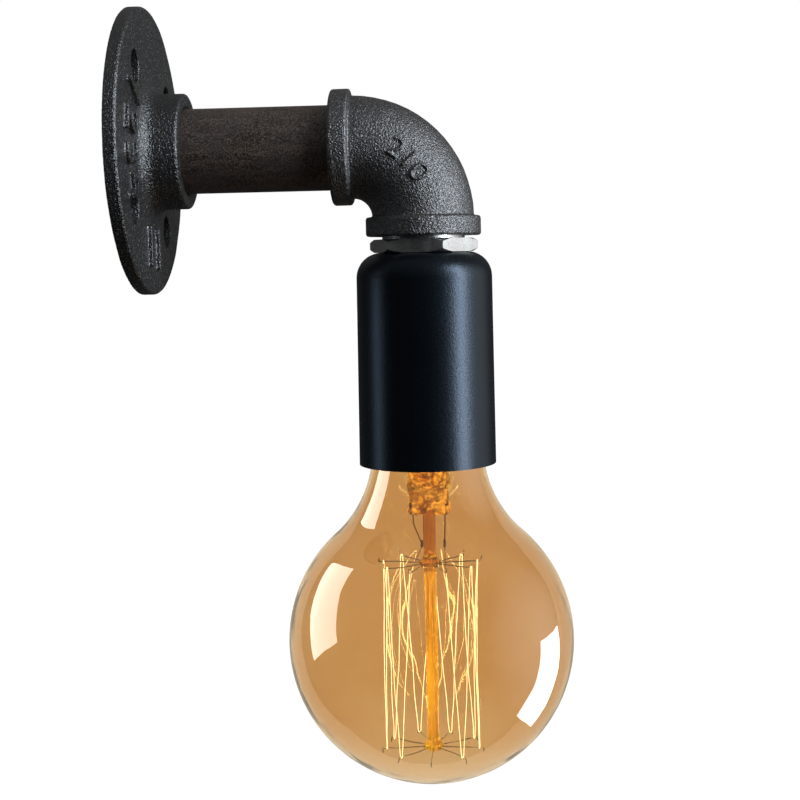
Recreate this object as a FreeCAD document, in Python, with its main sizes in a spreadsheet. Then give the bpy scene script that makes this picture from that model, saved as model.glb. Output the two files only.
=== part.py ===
import FreeCAD, Part

import math
import os
import Sketcher

V = FreeCAD.Vector

# The frame: origin in the wall plane on the pipe axis, +X away from the wall, +Z up.
# Lengths are in millimetres, angles in degrees.
SIZES = [
    ("flange_radius", 45.5),
    ("plate_thickness", 4.2),
    ("hub_wall", 5.05),
    ("hub_end", 16.2),
    ("hub_root_fillet", 5.0),
    ("rim_fillet", 0.9),
    ("mouth_chamfer", 1.3),
    ("screw_hole_radius", 5.2),
    ("screw_circle_radius", 31.0),
    ("screw_hole_count", 4),
    ("first_screw_angle", 36.0),
    ("pipe_radius", 13.45),
    ("pipe_wall", 2.65),
    ("nipple_start", 3.0),
    ("thread_step", 0.25),
    ("thread_depth", 0.9),
    ("thread_pitch", 1.814),
    ("thread_flank", 0.4),
    ("thread_rings", 5),
    ("running_clearance", 0.05),
    ("cut_margin", 0.03),
    ("engagement", 11.0),
    ("drop_axis", 91.0),
    ("elbow_reach", 28.5),
    ("elbow_wall", 4.6),
    ("elbow_relief", 0.8),
    ("band_wall", 5.1),
    ("band_width", 6.2),
    ("socket_depth", 12.5),
    ("band_fillet", 0.9),
    ("plug_gap", 0.9),
    ("plug_land", 2.0),
    ("plug_hex_height", 4.2),
    ("plug_chamfer", 1.8),
    ("plug_turn", 52.5),
    ("plug_skirt", 4.2),
    ("plug_recess_depth", 8.0),
    ("tube_radius", 5.0),
    ("tube_wall", 1.3),
    ("tube_setback", 1.1),
    ("tube_reach", 1.6),
    ("tube_thread_pitch", 1.0),
    ("tube_thread_depth", 0.45),
    ("tube_plain_end", 2.0),
    ("neck_clearance", 2.5),
    ("cup_flare", 0.4),
    ("cup_length", 67.9),
    ("cup_wall", 1.2),
    ("cup_shoulder", 8.0),
    ("washer_radius", 9.5),
    ("washer_thickness", 0.8),
    ("nut_hex", 14.0),
    ("nut_height", 3.4),
    ("nut_chamfer", 0.8),
    ("bracket_margin", 2.5),
    ("bracket_thickness", 1.5),
    ("collar_clearance", 0.3),
    ("collar_radius", 8.0),
    ("collar_height", 6.2),
    ("grub_radius", 1.6),
    ("holder_clearance", 1.5),
    ("holder_recess_depth", 9.0),
    ("holder_recess_wall", 1.1),
    ("holder_recess_width", 16.0),
    ("holder_floor", 5.2),
    ("contact_chamber_radius", 9.0),
    ("contact_chamber_height", 3.2),
    ("screw_radius", 1.5),
    ("screw_head_height", 1.5),
    ("screw_slot_width", 0.8),
    ("screw_slot_depth", 0.8),
    ("bracket_screw_offset", 13.5),
    ("bracket_screw_length", 12.0),
    ("bracket_screw_head", 2.8),
    ("earth_screw_aside", 6.5),
    ("earth_screw_offset", 9.5),
    ("earth_screw_head", 2.2),
    ("earth_screw_length", 7.5),
    ("earth_pocket_radius", 3.5),
    ("earth_pocket_depth", 7.0),
    ("shell_wall", 0.65),
    ("shell_rim_gap", 1.4),
    ("shell_lip", 0.8),
    ("shell_lip_hole", 8.0),
    ("terminal_length", 9.0),
    ("terminal_width", 6.0),
    ("terminal_height", 5.6),
    ("terminal_clearance", 1.5),
    ("terminal_screw_head", 2.6),
    ("wire_height", 2.5),
    ("wire_hole_depth", 6.3),
    ("wire_clearance", 0.15),
    ("live_rivet_offset", 6.8),
    ("neutral_rivet_offset", 11.5),
    ("rivet_radius", 1.5),
    ("contact_strip", 0.5),
    ("contact_width", 5.0),
    ("contact_clearance", 0.4),
    ("flex_radius", 3.1),
    ("flex_bore_radius", 2.3),
    ("flex_bend", 25.5),
    ("flex_start", 0.5),
    ("core_radius", 1.0),
    ("core_offset", 1.2),
    ("core_bend", 2.6),
    ("cap_core_radius", 12.05),
    ("cap_wall", 0.65),
    ("cap_length", 22.5),
    ("cap_rim_lip", 1.25),
    ("cap_rim_height", 1.5),
    ("cap_shoulder", 2.0),
    ("cap_thread_pitch", 3.629),
    ("cap_ridge_radius", 1.1),
    ("ridge_clearance", 0.2),
    ("ridge_start_angle", 50.0),
    ("groove_run_in", 1.0),
    ("groove_run_out", 0.75),
    ("shell_bore_clearance", 0.3),
    ("foot_radius", 4.6),
    ("foot_height", 1.5),
    ("foot_land", 0.6),
    ("insulator_height", 2.0),
    ("contact_gap", 0.3),
    ("globe_radius", 46.5),
    ("cap_to_glass", 0.3),
    ("glass_wall", 0.8),
    ("neck_radius", 18.0),
    ("neck_blend", 38.0),
    ("neck_shoulder", 6.8),
    ("cement_thickness", 0.5),
    ("seal_clearance", 0.02),
    ("seal_height", 7.5),
    ("stem_radius", 7.0),
    ("stem_wall", 1.2),
    ("stem_rise", 41.0),
    ("flare_length", 8.0),
    ("press_height", 9.0),
    ("press_dip", 3.0),
    ("rod_radius", 1.8),
    ("upper_button_rise", 25.0),
    ("lower_button_floor", 10.0),
    ("button_radius", 3.3),
    ("button_tip_radius", 2.3),
    ("button_height", 3.6),
    ("cage_radius", 15.5),
    ("strand_pairs", 9),
    ("first_hook_angle", -70.0),
    ("filament_radius", 0.22),
    ("filament_bend", 0.95),
    ("support_radius", 0.22),
    ("support_hook", 1.7),
    ("lead_radius", 0.35),
    ("lead_spacing", 5.0),
    ("lead_drop", 4.0),
    ("lead_bend", 1.5),
]

# Sizes that follow from others, so that what fits together stays together.
THREAD_RADIUS = "(size.pipe_radius - size.thread_step)"
SOCKET_RADIUS = f"({THREAD_RADIUS} + size.running_clearance)"
PIPE_BORE = "(size.pipe_radius - size.pipe_wall)"
HUB_RADIUS = f"({SOCKET_RADIUS} + size.hub_wall)"
BAND_RADIUS = f"({SOCKET_RADIUS} + size.band_wall)"
CAVITY_RADIUS = f"({PIPE_BORE} + size.elbow_relief)"
PLUG_HEX = f"(2 * ({THREAD_RADIUS} + size.plug_land))"
TUBE_HOLE = "(size.tube_radius + size.running_clearance)"
CUP_RADIUS = "(size.neck_radius + size.neck_clearance + size.cup_wall)"
HOLDER_RADIUS = "(size.neck_radius + size.neck_clearance - size.holder_clearance)"
BRACKET_RADIUS = f"({HOLDER_RADIUS} - size.bracket_margin)"
RECESS_EDGE = f"({HOLDER_RADIUS} - size.holder_recess_wall)"
RECESS_SIDE = "(size.holder_recess_width / 2)"
RECESS_HALF = f"sqrt({RECESS_EDGE} * {RECESS_EDGE} - {RECESS_SIDE} * {RECESS_SIDE})"
TERMINAL_OFFSET = f"({RECESS_HALF} - size.terminal_clearance - size.terminal_length / 2)"
SCREW_HOLE = "(size.screw_radius + size.running_clearance)"
RIVET_HOLE = "(size.rivet_radius + size.running_clearance)"
CAP_INNER = "(size.cap_core_radius - size.cap_wall)"
SHELL_BORE = "(size.cap_core_radius + size.shell_bore_clearance)"
SHELL_RADIUS = ("(size.cap_core_radius + size.cap_ridge_radius + size.ridge_clearance"
                " + size.shell_wall)")
SEAL_RADIUS = f"({CAP_INNER} - size.cement_thickness)"

doc = FreeCAD.newDocument("pipe_wall_light")
sheet = doc.addObject("Spreadsheet::Sheet", "size")
for row, (alias, number) in enumerate(SIZES, start=1):
    sheet.set(f"A{row}", alias)
    sheet.set(f"B{row}", str(number))
    sheet.setAlias(f"B{row}", alias)
doc.recompute()

nodes = []


def value(text):
    """The number that an expression on the sheet gives."""
    return float(sheet.evalExpression(str(text)))


def keep(piece):
    """Note a finished piece, which is written under its label."""
    nodes.append(piece)
    return piece


def place(piece, x="0", y="0", z="0"):
    """Bind a piece's place to the sheet."""
    for letter, text in zip("xyz", (x, y, z)):
        piece.setExpression(f"Placement.Base.{letter}", text)
    return piece


def on_drop_axis(piece):
    """Put a piece whose own Z axis is the drop axis in its place."""
    return place(piece, x="size.drop_axis")


# Sketch helpers

def new_sketch(body, role):
    """A sketch on one of the body's own origin planes."""
    sketch = body.newObject("Sketcher::SketchObject", "sketch")
    plane = next(item for item in body.Origin.OriginFeatures if item.Role == role)
    sketch.AttachmentSupport = [(plane, "")]
    sketch.MapMode = "FlatFace"
    return sketch


def bind(sketch, constraint, text):
    """Add a constraint whose value follows the sheet."""
    number = sketch.addConstraint(constraint)
    sketch.setExpression(f"Constraints[{number}]", text)


def bind_point(sketch, geometry, end, x, y):
    """Hold one end of a line or arc at a place worked out on the sheet."""
    bind(sketch, Sketcher.Constraint("DistanceX", -1, 1, geometry, end, value(x)), x)
    bind(sketch, Sketcher.Constraint("DistanceY", -1, 1, geometry, end, value(y)), y)


def arc_between(first, last, radius, side):
    """An arc from first to last, whose centre lies on the left or right of the chord."""
    chord = last - first
    half = chord.Length / 2
    across = V(-chord.y, chord.x, 0).normalize() * side
    centre = (first + last) / 2 + across * math.sqrt(max(radius * radius - half * half, 0.0))
    start = math.atan2(first.y - centre.y, first.x - centre.x)
    stop = math.atan2(last.y - centre.y, last.x - centre.x)
    circle = Part.Circle(centre, V(0, 0, 1), radius)
    if side > 0:
        return Part.ArcOfCircle(circle, start, stop), 1, 2
    return Part.ArcOfCircle(circle, stop, start), 2, 1


def outline(sketch, corners):
    """Draw a closed outline. A corner is (x, y), or (x, y, radius, side) where an arc follows it."""
    points = [V(value(c[0]), value(c[1]), 0) for c in corners]
    ends = []
    for here, corner in enumerate(corners):
        first = points[here]
        last = points[(here + 1) % len(points)]
        if len(corner) == 4:
            curve, start, stop = arc_between(first, last, value(corner[2]), corner[3])
            geometry = sketch.addGeometry(curve, False)
            bind(sketch, Sketcher.Constraint("Radius", geometry, value(corner[2])), corner[2])
        else:
            geometry = sketch.addGeometry(Part.LineSegment(first, last), False)
            start, stop = 1, 2
        ends.append((geometry, start, stop))
    for here, corner in enumerate(corners):
        geometry, start, _ = ends[here]
        before, _, stop = ends[here - 1]
        bind_point(sketch, geometry, start, corner[0], corner[1])
        sketch.addConstraint(Sketcher.Constraint("Coincident", before, stop, geometry, start))
    return sketch


def ring(sketch, x, y, radius):
    """Draw a circle at a place worked out on the sheet."""
    circle = Part.Circle(V(value(x), value(y), 0), V(0, 0, 1), value(radius))
    geometry = sketch.addGeometry(circle, False)
    bind(sketch, Sketcher.Constraint("Radius", geometry, value(radius)), radius)
    for kind, text in (("DistanceX", x), ("DistanceY", y)):
        if value(text) == 0:
            sketch.addConstraint(Sketcher.Constraint("PointOnObject", geometry, 3,
                                                     -2 if kind == "DistanceX" else -1))
        else:
            bind(sketch, Sketcher.Constraint(kind, -1, 1, geometry, 3, value(text)), text)
    return sketch


# Feature helpers

def turned(label, corners, axis="V_Axis"):
    """A body turned from an outline in the XZ plane, about the pipe axis or its own Z axis."""
    body = doc.addObject("PartDesign::Body", label)
    body.Label = label
    sketch = outline(new_sketch(body, "XZ_Plane"), corners)
    turn = body.newObject("PartDesign::Revolution", "turn")
    turn.Profile = sketch
    turn.ReferenceAxis = (sketch, [axis])
    turn.Angle = 360
    doc.recompute()
    return body


def volume_falls(body, feature):
    """Check that a cut really takes material away."""
    before = feature.BaseFeature.Shape.Volume
    doc.recompute()
    if not feature.Shape.Volume < before - 1e-6:
        raise RuntimeError(f"{feature.Name} cuts nothing from {body.Label}")
    return feature


def drilled(body, role, circles, start=None, length=None, reverse=False):
    """Cut round holes: circles are (x, y, radius) on an origin plane moved along its normal."""
    sketch = new_sketch(body, role)
    for x, y, radius in circles:
        ring(sketch, x, y, radius)
    return pocket(body, sketch, start, length, reverse)


def pocket(body, sketch, start=None, length=None, reverse=False):
    """Cut a sketch through everything, or to a length from a start height."""
    if start is not None:
        sketch.setExpression("AttachmentOffset.Base.z", start)
    cut = body.newObject("PartDesign::Pocket", "cut")
    cut.Profile = sketch
    cut.Reversed = reverse
    if length is None:
        cut.Type = "ThroughAll"
        cut.Midplane = True
    else:
        cut.Type = "Length"
        cut.setExpression("Length", length)
    return volume_falls(body, cut)


def hexed(body, across, start, length, turn="0"):
    """Leave a hexagon of a turned head by cutting away the ring outside it."""
    sketch = new_sketch(body, "XY_Plane")
    corner = f"{across} / 2 / cos(30 deg)"
    corners = []
    for step in range(6):
        angle = f"({turn} + {60 * step}) * 1 deg"
        corners.append((f"{corner} * cos({angle})", f"{corner} * sin({angle})"))
    outline(sketch, corners)
    ring(sketch, "0", "0", f"{across}")
    return pocket(body, sketch, start, length)


def hex_head(bore, across, chamfer, low, top, above):
    """Outline of a turned hexagon head: chamfered at 30 degrees below and, if told, above."""
    corner = f"{across} / 2 / cos(30 deg)"
    rise = f"{chamfer} * tan(30 deg)"
    corners = [(bore, low), (f"{corner} - {chamfer}", low), (corner, f"{low} + {rise}")]
    if above:
        corners += [(corner, f"{top} - {rise}"), (f"{corner} - {chamfer}", top)]
    else:
        corners += [(corner, top)]
    return corners


def ringed(body, radius, depth, pitch, count, start, axis):
    """Cut a row of V grooves, the thread's rings, along the axis that a body was turned about."""
    sketch = new_sketch(body, "XZ_Plane")
    wide = f"{pitch} * size.thread_flank"
    top = f"{radius} + size.cut_margin"
    bottom = f"{radius} - {depth}"
    if axis == "H_Axis":
        corners = [(start, top), (f"{start} + {wide}", bottom), (f"{start} + 2 * {wide}", top)]
    else:
        corners = [(top, start), (bottom, f"{start} + {wide}"), (top, f"{start} + 2 * {wide}")]
    outline(sketch, corners)
    groove = body.newObject("PartDesign::Groove", "thread_ring")
    groove.Profile = sketch
    groove.ReferenceAxis = (sketch, [axis])
    groove.Angle = 360
    volume_falls(body, groove)
    row = body.newObject("PartDesign::LinearPattern", "thread_rings")
    row.Originals = [groove]
    row.Direction = (sketch, [axis])
    row.setExpression("Length", f"{pitch} * ({count} - 1)")
    row.setExpression("Occurrences", count)
    body.Tip = row
    doc.recompute()
    return row


def rounded(body, radius, wanted):
    """Round the edges of the tip for which wanted(edge) is true."""
    tip = body.Tip
    names = [f"Edge{n}" for n, edge in enumerate(tip.Shape.Edges, start=1) if wanted(edge)]
    fillet = body.newObject("PartDesign::Fillet", "rounding")
    fillet.Base = (tip, names)
    fillet.setExpression("Radius", radius)
    doc.recompute()
    return fillet


def is_circle(edge, radius, along, at):
    """True for a round edge of one radius at one place along an axis (0 is X, 2 is Z)."""
    if not isinstance(edge.Curve, Part.Circle):
        return False
    return abs(edge.Curve.Radius - radius) < 0.01 and abs(edge.Curve.Center[along] - at) < 0.01


def cylinder(label, radius, height, x="0", y="0", z="0", axis=V(0, 0, 1)):
    """A round bar from a point along an axis."""
    bar = doc.addObject("Part::Cylinder", label)
    bar.Label = label
    bar.Placement = FreeCAD.Placement(V(0, 0, 0), FreeCAD.Rotation(V(0, 0, 1), axis))
    bar.setExpression("Radius", radius)
    bar.setExpression("Height", height)
    return place(bar, x, y, z)


def block(label, length, width, height, x, y, z):
    """A block with its lowest corner at a point."""
    piece = doc.addObject("Part::Box", label)
    piece.Label = label
    piece.setExpression("Length", length)
    piece.setExpression("Width", width)
    piece.setExpression("Height", height)
    return place(piece, x, y, z)


def cut_from(label, base, tools):
    """The base without the tools."""
    for number, tool in enumerate(tools):
        cut = doc.addObject("Part::Cut", f"{label}_cut_{number}")
        cut.Base = base
        cut.Tool = tool
        base = cut
    base.Label = label
    doc.recompute()
    return base


def group(label, pieces):
    """Like pieces that share one node as separate solids."""
    compound = doc.addObject("Part::Compound", label)
    compound.Links = pieces
    compound.Label = label
    return compound


def shape_node(label, shape):
    """A piece whose shape is made from the sheet's values."""
    piece = doc.addObject("Part::Feature", label)
    piece.Label = label
    piece.Shape = shape
    return piece


def route(points, bend):
    """A wire of straight runs with a tangent arc at each inner point."""
    edges = []
    start = points[0]
    for here in range(1, len(points) - 1):
        corner = points[here]
        back = (points[here - 1] - corner).normalize()
        ahead = (points[here + 1] - corner).normalize()
        turn = math.pi - back.getAngle(ahead)
        reach = bend * math.tan(turn / 2)
        first = corner + back * reach
        last = corner + ahead * reach
        inward = (back + ahead).normalize()
        middle = corner + inward * (bend / math.cos(turn / 2) - bend)
        if (first - start).Length > 1e-6:
            edges.append(Part.LineSegment(start, first).toShape())
        edges.append(Part.Arc(first, middle, last).toShape())
        start = last
    edges.append(Part.LineSegment(start, points[-1]).toShape())
    return Part.Wire(edges)


def tube_along(wire, radius):
    """A solid round tube along a wire, checked against its section times its length."""
    first = wire.Edges[0]
    direction = first.tangentAt(first.FirstParameter)
    circle = Part.Wire([Part.Circle(first.valueAt(first.FirstParameter), direction, radius).toShape()])
    tube = wire.makePipeShell([circle], True, False)
    expected = math.pi * radius * radius * wire.Length
    if not tube.isValid() or abs(tube.Volume - expected) > 0.01 * expected:
        raise RuntimeError(f"tube of radius {radius} is wrong: {tube.Volume} for {expected}")
    return tube


# Wall side

def wall_flange():
    """Floor flange: round plate, hub with a root fillet, plain bore and four screw holes."""
    body = turned("wall_flange", [
        ("0", SOCKET_RADIUS),
        ("0", "size.flange_radius"),
        ("size.plate_thickness", "size.flange_radius"),
        ("size.plate_thickness", HUB_RADIUS),
        ("size.hub_end", HUB_RADIUS),
        ("size.hub_end", f"{SOCKET_RADIUS} + size.mouth_chamfer"),
        ("size.hub_end - size.mouth_chamfer", SOCKET_RADIUS),
    ], "H_Axis")
    plate = value("size.plate_thickness")
    hub = value(HUB_RADIUS)
    rim = value("size.flange_radius")
    rounded(body, "size.hub_root_fillet", lambda edge: is_circle(edge, hub, 0, plate))
    rounded(body, "size.rim_fillet", lambda edge: is_circle(edge, rim, 0, plate)
            or is_circle(edge, hub, 0, value("size.hub_end")))
    across = "-size.screw_circle_radius * sin(size.first_screw_angle * 1 deg)"
    up = "size.screw_circle_radius * cos(size.first_screw_angle * 1 deg)"
    hole = drilled(body, "YZ_Plane", [(across, up, "size.screw_hole_radius")])
    circle = body.newObject("PartDesign::PolarPattern", "screw_holes")
    circle.Originals = [hole]
    circle.Axis = (next(i for i in body.Origin.OriginFeatures if i.Role == "X_Axis"), [""])
    circle.Angle = 360
    circle.setExpression("Occurrences", "size.screw_hole_count")
    body.Tip = circle
    doc.recompute()
    return keep(body)


NIPPLE_END = "size.drop_axis - size.elbow_reach + size.engagement"


def pipe_nipple():
    """Pipe with a threaded stretch at each end, a little thinner than the pipe."""
    first = "size.hub_end - size.mouth_chamfer / 2"
    last = "size.drop_axis - size.elbow_reach + size.mouth_chamfer / 2"
    body = turned("pipe_nipple", [
        ("size.nipple_start", PIPE_BORE),
        ("size.nipple_start", THREAD_RADIUS),
        (first, THREAD_RADIUS),
        (first, "size.pipe_radius"),
        (last, "size.pipe_radius"),
        (last, THREAD_RADIUS),
        (NIPPLE_END, THREAD_RADIUS),
        (NIPPLE_END, PIPE_BORE),
    ], "H_Axis")
    for start in ("size.nipple_start + size.thread_pitch",
                  f"{NIPPLE_END} - size.thread_pitch * (size.thread_rings + size.thread_flank)"):
        ringed(body, THREAD_RADIUS, "size.thread_depth", "size.thread_pitch",
               "size.thread_rings", start, "H_Axis")
    return keep(body)


# Drop side

ELBOW_FACE = "-size.elbow_reach"
PLUG_TOP = "-size.elbow_reach + size.engagement"
HEX_TOP = "-size.elbow_reach - size.plug_gap"
CUP_TOP = "-size.elbow_reach - size.plug_gap - size.plug_hex_height"
PLUG_RECESS = f"{PLUG_TOP} - size.plug_recess_depth"
WASHER_TOP = f"{CUP_TOP} - size.cup_wall"
NUT_TOP = f"{WASHER_TOP} - size.washer_thickness"
NUT_LOW = f"{NUT_TOP} - size.nut_height"
COLLAR_TOP = f"{NUT_LOW} - size.collar_clearance"
BRACKET_TOP = f"{COLLAR_TOP} - size.collar_height"
HOLDER_TOP = f"{BRACKET_TOP} - size.bracket_thickness"
TUBE_TOP = f"({PLUG_RECESS} - size.tube_setback)"
TUBE_LOW = f"({HOLDER_TOP} - size.tube_reach)"


def elbow():
    """Quarter bend between two bands, with a socket in each and a hollow bend behind them."""
    bend = "size.elbow_reach - size.band_width"

    def quarter(name, radius):
        piece = doc.addObject("Part::Torus", name)
        piece.Angle3 = 90
        piece.setExpression("Radius1", bend)
        piece.setExpression("Radius2", radius)
        turn = FreeCAD.Rotation(V(1, 0, 0), V(0, 0, 1), V(0, -1, 0), "XYZ")
        piece.Placement = FreeCAD.Placement(V(0, 0, 0), turn)
        return place(piece, f"size.drop_axis - ({bend})", "0", f"-({bend})")

    face = "size.drop_axis - size.elbow_reach"
    along = V(1, 0, 0)
    parts = [
        quarter("elbow_bend", f"{CAVITY_RADIUS} + size.elbow_wall"),
        cylinder("side_band", BAND_RADIUS, "size.band_width", x=face, axis=along),
        cylinder("low_band", BAND_RADIUS, "size.band_width", x="size.drop_axis", z=ELBOW_FACE),
    ]
    solid = doc.addObject("Part::MultiFuse", "elbow_solid")
    solid.Shapes = parts
    doc.recompute()
    edges = []
    for number, edge in enumerate(solid.Shape.Edges, start=1):
        if isinstance(edge.Curve, Part.Circle):
            if abs(edge.Curve.Radius - value(BAND_RADIUS)) < 0.01:
                edges.append((number, value("size.band_fillet"), value("size.band_fillet")))
    soft = doc.addObject("Part::Fillet", "elbow_rounded")
    soft.Base = solid
    soft.Edges = edges
    deep = "size.socket_depth"
    tools = [
        quarter("elbow_hollow", CAVITY_RADIUS),
        cylinder("side_socket", SOCKET_RADIUS, deep, x=face, axis=along),
        cylinder("low_socket", SOCKET_RADIUS, deep, x="size.drop_axis", z=ELBOW_FACE),
    ]
    for name, x, z, turn in (("side_mouth", face, "0", along),
                             ("low_mouth", "size.drop_axis", ELBOW_FACE, V(0, 0, 1))):
        cone = doc.addObject("Part::Cone", name)
        cone.Placement = FreeCAD.Placement(V(0, 0, 0), FreeCAD.Rotation(V(0, 0, 1), turn))
        cone.setExpression("Radius1", f"{SOCKET_RADIUS} + size.mouth_chamfer")
        cone.setExpression("Radius2", SOCKET_RADIUS)
        cone.setExpression("Height", "size.mouth_chamfer")
        tools.append(place(cone, x, "0", z))
    return keep(cut_from("elbow", soft, tools))


def hex_plug():
    """Hexagon plug: threaded shank up into the elbow, recess in its top, tapped for the tube."""
    inner = f"{THREAD_RADIUS} - size.plug_skirt"
    head = hex_head(TUBE_HOLE, PLUG_HEX, "size.plug_chamfer", CUP_TOP, HEX_TOP, True)
    body = turned("hex_plug", head + [
        (THREAD_RADIUS, HEX_TOP),
        (THREAD_RADIUS, PLUG_TOP),
        (inner, PLUG_TOP),
        (inner, PLUG_RECESS),
        (TUBE_HOLE, PLUG_RECESS),
    ])
    hexed(body, PLUG_HEX, HEX_TOP, "size.plug_hex_height", "size.plug_turn")
    ringed(body, THREAD_RADIUS, "size.thread_depth", "size.thread_pitch", "size.thread_rings",
           f"{ELBOW_FACE} + size.thread_pitch / 2", "V_Axis")
    return keep(on_drop_axis(body))


def threaded_tube():
    """Hollow tube with thread rings along its length."""
    bore = "size.tube_radius - size.tube_wall"
    body = turned("threaded_tube", [
        (bore, TUBE_LOW),
        ("size.tube_radius", TUBE_LOW),
        ("size.tube_radius", TUBE_TOP),
        (bore, TUBE_TOP),
    ])
    rings = f"floor(({TUBE_TOP} - {TUBE_LOW} - size.tube_plain_end) / size.tube_thread_pitch) - 1"
    ringed(body, "size.tube_radius", "size.tube_thread_depth", "size.tube_thread_pitch",
           rings, f"{TUBE_LOW} + size.tube_thread_pitch", "V_Axis")
    return keep(on_drop_axis(body))


def cover_cup():
    """Drawn steel cup: flat top with a hole, round shoulder, walls that open a little."""
    low = f"{CUP_TOP} - size.cup_length"
    inner = f"{CUP_RADIUS} - size.cup_wall"
    bend = f"{CUP_TOP} - size.cup_shoulder"
    flat = f"{CUP_RADIUS} - size.cup_shoulder"
    body = turned("cover_cup", [
        (TUBE_HOLE, CUP_TOP),
        (TUBE_HOLE, WASHER_TOP),
        (flat, WASHER_TOP, "size.cup_shoulder - size.cup_wall", -1),
        (inner, bend),
        (f"{inner} + size.cup_flare", low),
        (f"{CUP_RADIUS} + size.cup_flare", low),
        (CUP_RADIUS, bend, "size.cup_shoulder", 1),
        (flat, CUP_TOP),
    ])
    return keep(on_drop_axis(body))


def cup_fixings():
    """Washer and hexagon nut that hold the cup against the plug from inside."""
    washer = turned("cup_washer", [
        (TUBE_HOLE, NUT_TOP),
        ("size.washer_radius", NUT_TOP),
        ("size.washer_radius", WASHER_TOP),
        (TUBE_HOLE, WASHER_TOP),
    ])
    keep(on_drop_axis(washer))
    head = hex_head(TUBE_HOLE, "size.nut_hex", "size.nut_chamfer", NUT_LOW, NUT_TOP, False)
    nut = turned("cup_nut", head + [(TUBE_HOLE, NUT_TOP)])
    hexed(nut, "size.nut_hex", NUT_TOP, "size.nut_height")
    keep(on_drop_axis(nut))


RECESS_LOW = f"{HOLDER_TOP} - size.holder_recess_depth"
CHAMBER_TOP = f"{RECESS_LOW} - size.holder_floor"
SHELL_TOP = f"{CHAMBER_TOP} - size.contact_chamber_height"
CORE_END = f"{RECESS_LOW} + size.wire_height"
TERMINAL_TOP = f"{RECESS_LOW} + size.terminal_height"
NEUTRAL_SIDE = "size.core_offset * sin(120 deg)"
GRUB_HEIGHT = f"{BRACKET_TOP} + size.collar_height / 2"

# The bulb's heights hang from the foot, which stands under the centre contact.
FOOT_TOP = f"{CHAMBER_TOP} - size.contact_chamber_height / 2 - size.contact_gap"
FOOT_LOW = f"{FOOT_TOP} - size.foot_height"
CAP_TOP = f"{FOOT_LOW} - size.insulator_height"
CAP_LOW = f"{CAP_TOP} - size.cap_length"
SHELL_LOW = f"{CAP_LOW} + size.cap_rim_height + size.shell_rim_gap"
RIDGE_LOW = f"{CAP_LOW} + size.cap_rim_height + 2 * size.cap_ridge_radius"
RIDGE_TURNS = ("(size.cap_length - size.cap_rim_height - size.cap_shoulder"
               " - 4 * size.cap_ridge_radius) / size.cap_thread_pitch")


def holder_bracket():
    """Steel plate on the holder with a collar that is tapped for the tube."""
    body = turned("holder_bracket", [
        (TUBE_HOLE, HOLDER_TOP),
        (BRACKET_RADIUS, HOLDER_TOP),
        (BRACKET_RADIUS, BRACKET_TOP),
        ("size.collar_radius", BRACKET_TOP),
        ("size.collar_radius", COLLAR_TOP),
        (TUBE_HOLE, COLLAR_TOP),
    ])
    drilled(body, "XY_Plane", [
        ("0", "size.bracket_screw_offset", SCREW_HOLE),
        ("0", "-size.bracket_screw_offset", SCREW_HOLE),
        ("-size.earth_screw_aside", "-size.earth_screw_offset", SCREW_HOLE),
    ])
    drilled(body, "XZ_Plane", [("0", GRUB_HEIGHT, "size.grub_radius + size.running_clearance")],
            "0", "2 * size.collar_radius", True)
    keep(on_drop_axis(body))
    grub = cylinder("grub_screw", "size.grub_radius", f"size.collar_radius - {TUBE_HOLE}",
                    x="size.drop_axis", y="-size.collar_radius", z=GRUB_HEIGHT, axis=V(0, 1, 0))
    keep(grub)


def headed_screw(name, head, length, x, y, z):
    """A slotted cheese-head screw that points down, with the underside of its head at z."""
    shank = cylinder(f"{name}_shank", "size.screw_radius", length, x=x, y=y, z=f"{z} - ({length})")
    top = cylinder(f"{name}_head", head, "size.screw_head_height", x=x, y=y, z=z)
    solid = doc.addObject("Part::Fuse", f"{name}_solid")
    solid.Base = shank
    solid.Tool = top
    groove = block(f"{name}_slot", f"2 * {head}", "size.screw_slot_width", "size.screw_head_height",
                   f"{x} - {head}", f"{y} - size.screw_slot_width / 2",
                   f"{z} + size.screw_head_height - size.screw_slot_depth")
    return cut_from(name, solid, [groove])


def holder_screws():
    """Screws that hold the bracket on the porcelain, and the earth screw in the bracket."""
    pair = [headed_screw(f"bracket_screw_{n}", "size.bracket_screw_head",
                         "size.bracket_screw_length", "size.drop_axis",
                         f"{way} * size.bracket_screw_offset", BRACKET_TOP)
            for n, way in enumerate((1, -1))]
    keep(group("bracket_screws", pair))
    keep(headed_screw("earth_screw", "size.earth_screw_head", "size.earth_screw_length",
                      "size.drop_axis - size.earth_screw_aside", "-size.earth_screw_offset",
                      BRACKET_TOP))


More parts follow.
